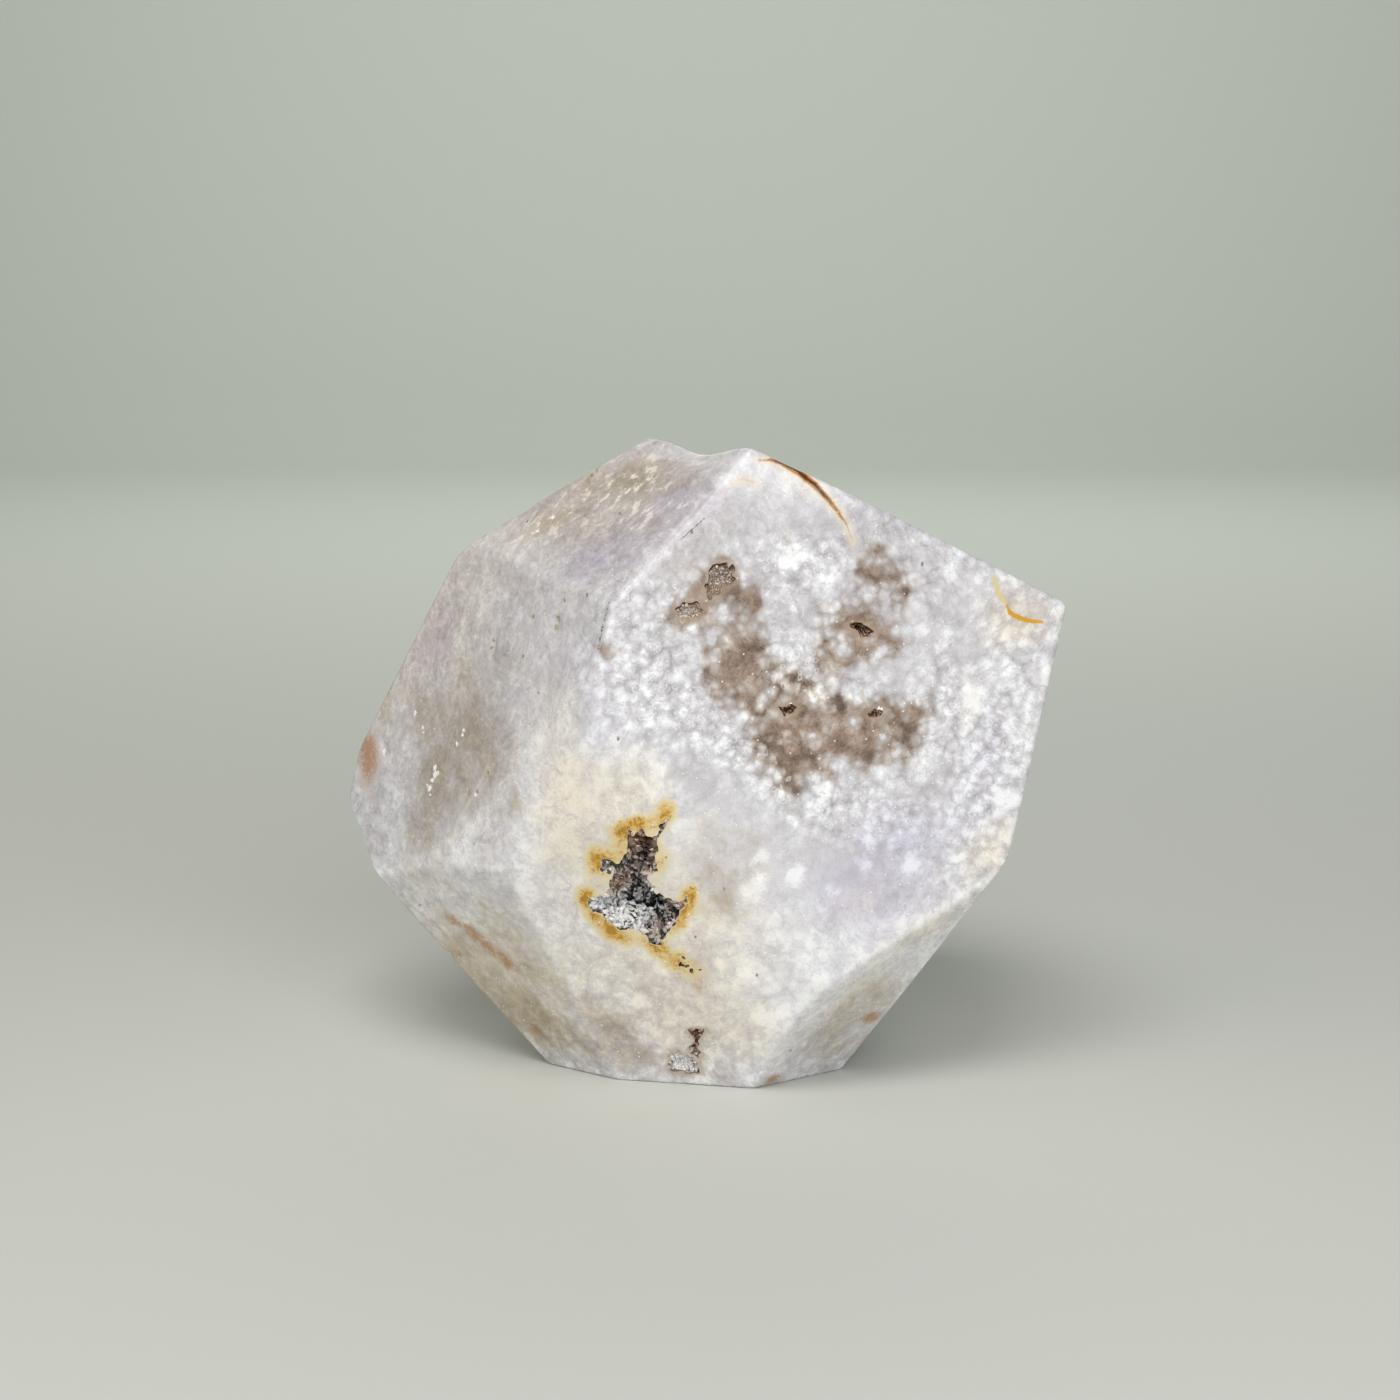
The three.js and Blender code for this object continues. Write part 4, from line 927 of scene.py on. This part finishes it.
def crystalTree(material):
    # Quartz points on a crust: a six-sided column with a pointed end, turned and sized at random.
    tree = bpy.data.node_groups.new("quartzPoints", "GeometryNodeTree")
    face = tree.interface
    face.new_socket("Crust", in_out="INPUT", socket_type="NodeSocketGeometry")
    for label in ("Width", "Length", "Apart"):
        face.new_socket(label, in_out="INPUT", socket_type="NodeSocketFloat")
    face.new_socket("Seed", in_out="INPUT", socket_type="NodeSocketInt")
    face.new_socket("Crust", in_out="OUTPUT", socket_type="NodeSocketGeometry")
    given = addNode(tree, "NodeGroupInput").outputs
    grows = addNode(tree, "GeometryNodeInputNamedAttribute", {"Name": "grows"}, data_type="FLOAT")
    deep = addNode(tree, "FunctionNodeCompare", {0: grows, 1: crystalForm["from"]}, operation="GREATER_THAN")
    feet = addNode(tree, "GeometryNodeDistributePointsOnFaces", {
        "Mesh": given["Crust"], "Selection": deep, "Distance Min": given["Apart"],
        "Density Max": crystalForm["most"], "Seed": given["Seed"]}, distribute_method="POISSON")
    head, column = crystalForm["head"], crystalForm["column"]
    shaft = addNode(tree, "GeometryNodeMeshCone", {
        "Vertices": 6, "Radius Top": head, "Radius Bottom": crystalForm["foot"], "Depth": column},
        fill_type="NGON")
    tip = addNode(tree, "GeometryNodeMeshCone", {
        "Vertices": 6, "Radius Top": 0, "Radius Bottom": head, "Depth": 1 - column}, fill_type="NGON")
    lifted = addNode(tree, "GeometryNodeTransform", {"Geometry": tip, "Translation": (0, 0, column)})
    both = addNode(tree, "GeometryNodeJoinGeometry")
    for part in (shaft, lifted):
        tree.links.new(part.outputs[0], both.inputs[0])
    down = (0, 0, -crystalForm["sunk"])
    sunk = addNode(tree, "GeometryNodeTransform", {"Geometry": both, "Translation": down})
    merged = addNode(tree, "GeometryNodeMergeByDistance", {"Geometry": sunk, "Distance": 0.001})
    most = crystalForm["lean"]
    lean = addNode(tree, "FunctionNodeRandomValue", {
        "Min": (-most, -most, 0), "Max": (most, most, 6.283), "Seed": given["Seed"]},
        data_type="FLOAT_VECTOR")
    leaning = addNode(tree, "FunctionNodeRotateRotation", {
        "Rotation": feet.outputs["Rotation"], "Rotate By": lean}, rotation_space="LOCAL")
    spread = addNode(tree, "FunctionNodeRandomValue", {
        2: crystalForm["smallest"], 3: crystalForm["largest"], "Seed": given["Seed"]}, data_type="FLOAT")
    wide = addNode(tree, "ShaderNodeMath", {0: given["Width"], 1: spread.outputs[1]}, operation="MULTIPLY")
    tall = addNode(tree, "ShaderNodeMath", {0: given["Length"], 1: spread.outputs[1]}, operation="MULTIPLY")
    size = addNode(tree, "ShaderNodeCombineXYZ", {0: wide, 1: wide, 2: tall})
    crystals = addNode(tree, "GeometryNodeInstanceOnPoints", {
        "Points": feet, "Instance": merged, "Rotation": leaning, "Scale": size})
    # a random tone for each crystal: low tones are painted shade, high ones white quartz and painted glints
    shadeAndGlint = addNode(tree, "FunctionNodeRandomValue", {2: 0, 3: 1, "Seed": 77}, data_type="FLOAT")
    marked = addNode(tree, "GeometryNodeStoreNamedAttribute", {
        "Geometry": crystals, "Name": "shadeAndGlint", "Value": shadeAndGlint.outputs[1]},
        data_type="FLOAT", domain="INSTANCE")
    real = addNode(tree, "GeometryNodeRealizeInstances", {"Geometry": marked})
    whole = addNode(tree, "GeometryNodeJoinGeometry")
    for part in (given["Crust"], real.outputs[0]):
        tree.links.new(part, whole.inputs[0])
    painted = addNode(tree, "GeometryNodeSetMaterial", {"Geometry": whole, "Material": material})
    out = addNode(tree, "NodeGroupOutput")
    tree.links.new(painted.outputs[0], out.inputs[0])
    return tree


def growCrystals(sheet, hollow, tree):
    # Runs the crystals' tree on a crust, and keeps the result as a plain mesh that the wheel has ground flat.
    made = sheet.modifiers.new("crystals", "NODES")
    made.node_group = tree
    named = {item.name: item.identifier for item in tree.interface.items_tree if item.in_out == "INPUT"}
    size = hollow["crystals"]
    for label in ("Width", "Length", "Apart"):
        made[named[label]] = size[label.lower()] * mm
    made[named["Seed"]] = size["seed"]
    evaluated = sheet.evaluated_get(bpy.context.evaluated_depsgraph_get())
    mesh = bpy.data.meshes.new_from_object(evaluated)
    sheet.modifiers.remove(made)
    old, sheet.data = sheet.data, mesh
    bpy.data.meshes.remove(old)
    points = np.zeros(len(mesh.vertices) * 3)
    mesh.vertices.foreach_get("co", points)
    points = points.reshape(-1, 3) / mm
    over, directions = standsOut(points)
    points = points - directions * np.maximum(over + crustForm["recess"] / 2, 0)[:, None]
    mesh.vertices.foreach_set("co", (points * mm).ravel())
    mesh.update()
    return sheet


def linear(code):
    # An sRGB hex colour as the linear colour that the shaders take.
    channels = [int(code[i:i + 2], 16) / 255 for i in (1, 3, 5)]
    return [c / 12.92 if c <= 0.04045 else ((c + 0.055) / 1.055) ** 2.4 for c in channels] + [1]


def newMaterial(name, settings):
    # A material of one shader, with the settings of its inputs.
    material = bpy.data.materials.new(name)
    material.use_nodes = True
    tree = material.node_tree
    tree.nodes.clear()
    shader = addNode(tree, "ShaderNodeBsdfPrincipled", settings)
    addNode(tree, "ShaderNodeOutputMaterial", {"Surface": shader})
    return material, tree, shader


def setRamp(ramp, stops):
    for position, code in stops[1:-1]:
        ramp.elements.new(position)
    for element, (position, code) in zip(ramp.elements, stops):
        element.position, element.color = position, linear(code)


quartzShine = {"Roughness": 0.07, "IOR": 1.54, "Transmission Weight": 0.12, "Coat Weight": 0.7,
               "Coat Roughness": 0.03}
quartzTones = ((0.45, "#121214"), (0.68, "#45464a"), (0.84, "#c6c5c3"), (1, "#f6f5f2"), (1.2, "#ffffff"))


def quartzMaterial():
    # Small quartz points: a random tone per crystal, dark as painted shade where clear quartz would show the
    # shaded hollow, white where they are milky and as painted glints.
    material, tree, shader = newMaterial("drusy quartz", quartzShine)
    fact = {name: addNode(tree, "ShaderNodeAttribute", attribute_name=name).outputs["Fac"]
            for name in ("shadeAndGlint", *quartzTints)}
    own = addNode(tree, "ShaderNodeTexCoord").outputs["Object"]
    mottle = addNode(tree, "ShaderNodeTexNoise", {"Vector": own, "Scale": 1 / (0.34 * mm), "Detail": 2})
    tone = 0
    for source, weight in ((fact["shadeAndGlint"], 0.95), (mottle, 0.6), (fact["milkyAndGlint"], 0.6),
                           (fact["paintedShade"], -0.45)):
        tone = addNode(tree, "ShaderNodeMath", {0: source, 1: weight, 2: tone},
                       operation="MULTIPLY_ADD")
    most = 0.8                       # the ramp ends at 1, so the tone and its stops are scaled down
    tone = addNode(tree, "ShaderNodeMath", {0: tone, 1: most}, operation="MULTIPLY")
    ramp = addNode(tree, "ShaderNodeValToRGB", {0: tone})
    setRamp(ramp.color_ramp, [(most * position, code) for position, code in quartzTones])
    even = addNode(tree, "ShaderNodeMath", {0: fact["tan"], 1: 0.85}, operation="MULTIPLY")
    evened = addNode(tree, "ShaderNodeMix", {"Factor": even, 6: ramp, 7: linear("#c8b59e")},
                     data_type="RGBA").outputs[2]
    stained = addNode(tree, "ShaderNodeMix", {"Factor": fact["iron"], 6: evened, 7: linear("#a87048")},
                      data_type="RGBA", blend_type="MULTIPLY").outputs[2]
    tree.links.new(stained, shader.inputs["Base Color"])
    return material


# The agate's patterns. Each has its kind, the size of its features in mm, the place it is read at, and
# its settings.
agatePatterns = {
    "clouds": ("ShaderNodeTexNoise", 5.5, "bent", {"Detail": 5, "Roughness": 0.6}),
    "plumes": ("ShaderNodeTexNoise", 2.1, "frayed", {"Detail": 6, "Roughness": 0.66}),
    "drifts": ("ShaderNodeTexNoise", 11, "bent", {"Detail": 4, "Roughness": 0.55}),
    "wisps": ("ShaderNodeTexNoise", 0.62, "frayed", {"Detail": 4, "Roughness": 0.7}),
    "grain": ("ShaderNodeTexNoise", 0.24, "place", {"Detail": 2, "Roughness": 0.6}),
    "heads": ("ShaderNodeTexVoronoi", 2.5, "nudged", {"Randomness": 1}),
    "curls": ("ShaderNodeTexVoronoi", 1.15, "nudged", {"Randomness": 1}),
    "bubbles": ("ShaderNodeTexVoronoi", 0.85, "nudged", {"Randomness": 1}),
    "sugar": ("ShaderNodeTexVoronoi", 0.8, "place", {"Randomness": 1}),
    "tufts": ("ShaderNodeTexVoronoi", 3.6, "frayed", {"Randomness": 1}),
    "pits": ("ShaderNodeTexVoronoi", 3.4, "drawn", {"Randomness": 1}),
    "veins": ("ShaderNodeTexNoise", 1.9, "frayed", {"Detail": 3, "Roughness": 0.5}),
    "bands": ("ShaderNodeTexNoise", 1.7, "sheets", {"Detail": 6, "Roughness": 0.66}),
    "broadBands": ("ShaderNodeTexNoise", 7, "sheets", {"Detail": 3, "Roughness": 0.5}),
    "crumbs": ("ShaderNodeTexNoise", 0.9, "slanted", {"Detail": 5, "Roughness": 0.7}),
}

# Colours along the tone of the stone, from its thin places to its densest plumes, and of its windows.
agateTones = ((0.05, "#a9a4a7"), (0.3, "#c3bfc2"), (0.5, "#d3d1d4"), (0.66, "#e3e2e5"),
              (0.82, "#f4f5f6"), (0.97, "#ffffff"))
windowTones = ((0.1, "#43362b"), (0.35, "#756152"), (0.6, "#a08a79"), (0.9, "#d3c5b8"))
agateShine = {"IOR": 1.54, "Subsurface Weight": 0.2, "Subsurface Radius": (1, 0.86, 0.78),
              "Subsurface Scale": 0.7 * mm}

# What tints the tone, and then the layers over it, from the lowest: what it is, its mask and its colour.
agateTints = [
    ("violet", "violet", "#eeecf8"),
    ("pink violet of the banded side", "pinkish", "#f4ede2"),
    ("iron cream", "cream", "#fbf3e4"),
    ("smoke", "smoky", "#d2cabd"),
    ("greenish beige", "mossy", "#e6dfcb"),
    ("thin stone by a window", "veiled", "#cfc2b4"),
]
agateLayers = [
    ("crumbs between bands", "crumbly", "#f3eee1"),
    ("bubbles in the froth", "bubbled", "#ffffff"),
    ("veins in the froth", "veined", "#a9a4aa"),
    ("rust", "rusty", "#b18355"),
    ("pale iron round a hollow", "paleHalo", "#e6d5a4"),
    ("ochre round a hollow", "halo", "#d8a932"),
    ("deep ochre", "deepHalo", "#a8741d"),
    ("beige round the other hollows", "plainHalo", "#ab947b"),
    ("bare rim", "rim", "#e9dcc0"),
    ("peach by a crack", "crackHalo", "#efdfc4"),
    ("crack", "crackFill", "#b9853f"),
    ("crack's core", "crackCore", "#5e2f14"),
    ("pale ochre line", "paleOchreLine", "#e3cf86"),
    ("ochre line", "ochreLine", "#d9a01c"),
    # sugar grains, partly painted glints: near-white specks, most of them in the windows
    ("sugar grains", "grainsAndGlints", "#fffefb"),
    ("pits", "pitted", "#80725c"),
    ("flaws", "flawed", "#9b8a5e"),
    ("healed crack", "healing", "#f4f0e8"),
    ("chipped edge", "chipped", "#40372e"),
    # painted highlights: the glints are white dots
    ("glints", "glinting", "#ffffff"),
]


def agateMaterial():
    # Chalcedony with a wheel's polish: glassy highlights over a milky body that light enters a little way.
    # Patterns and marks make one tone, which gives the plumes, and tints and layers lie over it.
    material, tree, shader = newMaterial("polished chalcedony", agateShine)
    at = {}
    own = addNode(tree, "ShaderNodeTexCoord").outputs["Object"]
    at["place"] = addNode(tree, "ShaderNodeVectorMath", {0: own, 1: (1 / mm,) * 3}, operation="MULTIPLY")
    slow = addNode(tree, "ShaderNodeTexNoise", {"Vector": at["place"], "Scale": 1 / 8, "Detail": 2})
    quick = addNode(tree, "ShaderNodeTexNoise", {"Vector": at["place"], "Scale": 1 / 1.2, "Detail": 3})
    bends = (("bent", slow, 5, "place"), ("frayed", quick, 1.3, "bent"), ("nudged", quick, 1, "place"),
             ("eased", slow, 2.4, "place"))
    for name, source, amount, start in bends:
        at[name] = addNode(tree, "ShaderNodeVectorMath", {
            0: source.outputs["Color"], 1: (amount,) * 3, 2: at[start]}, operation="MULTIPLY_ADD")
    # The stone grew in sheets that face the front. They show as streaks where a facet cuts them aslant.
    tilt = math.radians(-10.5)
    for name, narrow in (("sheets", 0.26), ("slanted", 0.55)):
        at[name] = addNode(tree, "ShaderNodeMapping", {
            "Vector": at["eased"], "Rotation": (tilt, 0, 0), "Scale": (narrow, 1, narrow)})
    at["drawn"] = addNode(tree, "ShaderNodeMapping", {"Vector": at["place"], "Scale": (1, 1, 0.6)})

    value, cellColour = {}, {}
    for name, (kind, size, where, settings) in agatePatterns.items():
        node = addNode(tree, kind, {"Vector": at[where], "Scale": 1 / size, **settings})
        value[name] = node.outputs["Fac" if "Noise" in kind else "Distance"]
        cellColour[name] = node.outputs["Color"]
    for name in ("edges", "stainedRim", "plainRim", *marks, *spots, *lines):
        value[name] = addNode(tree, "ShaderNodeAttribute", attribute_name=name).outputs["Fac"]
    for name in ("bubbles", "tufts", "pits", "sugar"):
        value[name + "Pick"] = addNode(tree, "ShaderNodeSeparateColor", {0: cellColour[name]})

    def named(source):
        return value[source] if isinstance(source, str) else source

    def blend(start, **weights):
        # A constant plus patterns, each times its weight.
        total = start
        for name, weight in weights.items():
            total = addNode(tree, "ShaderNodeMath", {0: value[name], 1: weight, 2: total},
                            operation="MULTIPLY_ADD")
        return total

    def rise(source, low, high, top=1):
        # Goes softly from 0 at low to top at high. With low above high it falls.
        ends = {"From Min": low, "From Max": high, "To Max": top}
        if low > high:
            ends = {"From Min": high, "From Max": low, "To Min": top, "To Max": 0}
        return addNode(tree, "ShaderNodeMapRange", {"Value": named(source), **ends},
                       interpolation_type="SMOOTHSTEP")

    def times(*sources):
        total = named(sources[0])
        for source in sources[1:]:
            total = addNode(tree, "ShaderNodeMath", {0: total, 1: named(source)}, operation="MULTIPLY")
        return total

    value["plain"] = blend(1, streaks=-0.95)
    # The tone of the stone: plumes and their curled heads on the plain sides, bands on the others.
    value["plumeTone"] = times("plain", blend(1, calm=-0.5, haze=-0.35, pale=-0.35),
                               blend(-0.8, plumes=1.2, wisps=1.1, heads=-0.42, curls=-0.36))
    value["bandTone"] = times("streaks", blend(-1.85, bands=1.1, wisps=0.9, crumbs=0.9, broadBands=0.8))
    value["frothTone"] = times("plain", "froth", blend(0.22, curls=-0.62, grain=0.3))
    value["puffTone"] = rise(blend(0.15, puffs=1, plumes=-1.9, wisps=1.7, grain=-0.4, heads=0.5), 1.1, 0.35)
    value["tuftTone"] = times("plain", rise("tuftsPick", 0.4, 0.6),
                              rise(blend(0, tufts=1, wisps=0.5, plumes=-0.4), 0.28, 0.08))
    # pale drifts, and painted light: it lifts the tone of the sides that the lamps reach less
    value["paleTone"] = times("pale", blend(-0.43, drifts=1.3, clouds=0.15))
    # the edge weight is a painted highlight along the facets' edges
    tone = blend(0.2, edges=0.1, paleTone=1, plumeTone=1, bandTone=1, frothTone=1, puffTone=0.27,
                 tuftTone=0.25, calm=0.15, warm=0.1, haze=-0.15, clouds=0.36, grain=0.3, streaks=0.05)
    toned = addNode(tree, "ShaderNodeValToRGB", {0: tone})
    setRamp(toned.color_ramp, agateTones)
    windowTone = blend(1.35, clouds=-0.5, plumes=-1.3, heads=-0.6, wisps=0.5, grain=0.3)
    browned = addNode(tree, "ShaderNodeValToRGB", {0: windowTone})
    setRamp(browned.color_ramp, windowTones)
    # A window is where its mark and the gaps between the plumes meet, and a stain fades from the rim.
    within = rise("windows", 0.02, 0.25)
    value["opened"] = blend(-2.43, windows=1, plumes=2.0, heads=1.2, curls=0.9, wisps=0.8)
    value["stain"] = blend(-0.66, ochreStain=1.1, plumes=1.0, wisps=1.1, stainedRim=-0.3)
    mask = {
        "violet": rise(blend(-0.5, lilac=1, plumes=0.6, clouds=0.4), 0.1, 0.8, 0.9),
        "pinkish": rise(blend(-0.5, streaks=0.9, broadBands=0.8), 0.1, 0.7, 0.9),
        "cream": rise(blend(-0.58, warm=0.95, clouds=0.6, plumes=0.3), 0.0, 0.85, 0.95),
        "smoky": rise(blend(-2.12, smoke=1.0, bands=0.9, plumes=1.4, clouds=1.1, broadBands=0.6), 0.05, 0.85),
        "mossy": rise(blend(-0.7, moss=1, bands=1.4), 0.15, 0.9, 0.75),
        "veiled": times(within, rise("opened", -0.15, 0.5, 0.95)),
        "window": times(within, rise("opened", 0.36, 0.93, 0.94)),
        "crumbly": times("curds", rise("crumbs", 0.53, 0.63, 0.85)),
        "bubbled": times("plain", rise("froth", 0.2, 0.7), rise("bubbles", 0.2, 0.27),
                         rise("bubbles", 0.4, 0.33), rise("bubblesPick", 0.45, 0.6, 0.4)),
        "veined": times("plain", rise("froth", 0.6, 0.95), rise("veins", 0.465, 0.492),
                        rise("veins", 0.535, 0.508), rise("clouds", 0.48, 0.58, 0.5)),
        "rusty": rise(blend(-1.7, rust=1, wisps=1.3, plumes=1.2, grain=0.8), 0.1, 0.9, 0.85),
        "paleHalo": rise("stain", 0.15, 0.7, 0.85),
        "halo": rise("stain", 0.5, 1.3, 0.95),
        "deepHalo": rise(blend(-1.25, stain=1, wisps=1.5, grain=0.8), 0.85, 1.3, 0.8),
        "plainHalo": rise(blend(0.3, plainRim=1, plumes=-0.8, wisps=0.3), 0.9, 0.1, 0.6),
        "rim": rise(blend(0, stainedRim=1, wisps=0.25), 0.27, 0.15, 0.6),
        "crackHalo": rise(blend(0, cracks=1, plumes=0.8), 1.35, 0.2, 0.55),
        "crackFill": rise(blend(-0.04, cracks=1, wisps=0.3), 0.16, -0.06, 0.92),
        "crackCore": rise(blend(-0.2, cracks=1, plumes=0.9), 0.12, -0.04, 0.95),
        "paleOchreLine": rise(blend(-0.1, paleOchre=1, wisps=0.3), 0.3, -0.1, 0.75),
        "ochreLine": rise(blend(-0.08, ochre=1, wisps=0.2), 0.12, -0.05),
        # white specks: sugar grains and painted glints
        "grainsAndGlints": times(rise("sugar", 0.16, 0.08), rise(
            blend(-1, sugarPick=1, clouds=1, warm=0.3, windows=0.1, streaks=-0.4), 0.1, 0.2, 0.7)),
        "pitted": times(rise("pits", 0.055, 0.03), rise("pitsPick", 0.5, 0.55, 0.8)),
        "flawed": rise(blend(-0.9, flaws=1, wisps=0.8, grain=1.2), 1.2, 0.75, 0.85),
        "healing": rise(blend(-0.2, healed=1, wisps=0.5), 0.34, 0.1, 0.24),
        "chipped": times(rise("chips", 0.03, -0.02), rise("grain", 0.5, 0.58, 0.9)),
        "glinting": rise(blend(-1.0, glints=1, grain=2), 1.15, 0.9),
    }
    layers = [(what, name, linear(code), "MULTIPLY") for what, name, code in agateTints]
    layers.append(("window", "window", browned, "MIX"))
    layers += [(what, name, linear(code), "MIX") for what, name, code in agateLayers]
    colour = toned
    for what, name, over, way in layers:
        colour = addNode(tree, "ShaderNodeMix", {"Factor": mask[name], 6: colour, 7: over},
                         data_type="RGBA", blend_type=way, label=what).outputs[2]
    tree.links.new(colour, shader.inputs["Base Color"])
    for name in ("window", "pitted", "glinting", "chipped", "crackFill"):
        value[name + "Mask"] = mask[name]
    rough = blend(0.1, windowMask=0.1, pittedMask=0.4, wisps=0.06)
    tree.links.new(rough.outputs[0], shader.inputs["Roughness"])
    height = blend(0, pittedMask=-1, glintingMask=0.5, chippedMask=-1, crackFillMask=-0.3, clouds=0.12)
    bump = addNode(tree, "ShaderNodeBump", {"Height": height, "Strength": 0.7, "Distance": 0.12 * mm})
    tree.links.new(bump.outputs[0], shader.inputs["Normal"])
    return material


sweep = {"front": 900, "back": 700, "radius": 260, "steps": 24, "top": 1400, "half": 1600}
# Matt card: it spreads the light evenly and hardly mirrors the stone.
sweepShine = {"Base Color": linear("#d4d6cf"), "Roughness": 0.7, "Specular IOR Level": 0.15}


def buildStage():
    # A pale floor that sweeps up into the wall behind.
    back, radius, half = sweep["back"], sweep["radius"], sweep["half"]
    profile = [(-sweep["front"], 0)]
    for i in range(sweep["steps"] + 1):
        a = math.pi / 2 * i / sweep["steps"]
        profile.append((back + radius * math.sin(a), radius * (1 - math.cos(a))))
    profile.append((back + radius, sweep["top"]))
    points = np.array([(x, y, z) for y, z in profile for x in (-half, half)])
    faces = np.array([(2 * i, 2 * i + 1, 2 * i + 3, 2 * i + 2) for i in range(len(profile) - 1)])
    backdrop = newObject("backdrop", points, faces)
    backdrop.data.shade_smooth()
    backdrop.data.materials.append(newMaterial("pale floor", sweepShine)[0])


lights = {      # place, what it faces, size, watts and colour
    "window": {"at": (130, -560, 240), "to": (0, 0, 35), "size": 440, "watts": 2.0, "colour": "#fdfcff"},
    "skylight": {"at": (-80, -300, 560), "to": (0, 0, 30), "size": 320, "watts": 1.8, "colour": "#ffffff"},
    "fill": {"at": (-460, -300, 400), "to": (0, 0, 30), "size": 380, "watts": 0.45, "colour": "#fff0dc"},
    "rear": {"at": (60, 520, 400), "to": (0, 0, 35), "size": 460, "watts": 0.42, "colour": "#fdfdff"},
    "wall wash": {"at": (0, 380, 700), "to": (0, 1000, 420), "size": 500, "watts": 2.9, "colour": "#f8fff8"},
}


def pointAt(thing, at, target):
    aim = Vector(target) - Vector(at)
    thing.location = Vector(at) * mm
    thing.rotation_euler = aim.to_track_quat("-Z", "Y").to_euler()


sky = {"colour": "#e2e6e0", "strength": 0.155}


def buildLights():
    for name, spec in lights.items():
        lamp = bpy.data.lights.new(name, "AREA")
        lamp.energy = spec["watts"]
        lamp.size = spec["size"] * mm
        lamp.color = linear(spec["colour"])[:3]
        thing = bpy.data.objects.new(name, lamp)
        bpy.context.scene.collection.objects.link(thing)
        pointAt(thing, spec["at"], spec["to"])
    world = bpy.data.worlds.new("studio")
    world.use_nodes = True
    world.node_tree.nodes["Background"].inputs[0].default_value = linear(sky["colour"])
    world.node_tree.nodes["Background"].inputs[1].default_value = sky["strength"]
    bpy.context.scene.world = world


view = {"target": (0.1, -8.37, 40.8), "distance": 310, "down": 10, "lens": 72.2, "sensor": 36,
        "nearest": 10, "farthest": 20000}


def buildCamera():
    camera = bpy.data.cameras.new("camera")
    camera.lens = view["lens"]
    camera.sensor_width = view["sensor"]
    camera.clip_start, camera.clip_end = view["nearest"] * mm, view["farthest"] * mm
    thing = bpy.data.objects.new("camera", camera)
    bpy.context.scene.collection.objects.link(thing)
    down = math.radians(view["down"])
    x, y, z = view["target"]
    at = (x, y - view["distance"] * math.cos(down), z + view["distance"] * math.sin(down))
    pointAt(thing, at, view["target"])
    bpy.context.scene.camera = thing


buildCamera()
buildStage()
buildLights()
bpy.context.scene.view_settings.view_transform = "Standard"
print("camera, stage and lights are up")

agate = agateMaterial()
quartz = quartzMaterial()
print("materials are made")
stone = buildStone()
stone.data.materials.append(agate)
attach(stone, "root")
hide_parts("stone")

quartzPoints = crystalTree(quartz)
for node, hollow in hollows.items():
    crust = growCrystals(crustSheet(node + "_crust", hollow), hollow, quartzPoints)
    crust.data.materials.clear()
    crust.data.materials.append(quartz)
    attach(crust, "root")
    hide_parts(node)
    print(node, "faces:", len(crust.data.polygons))
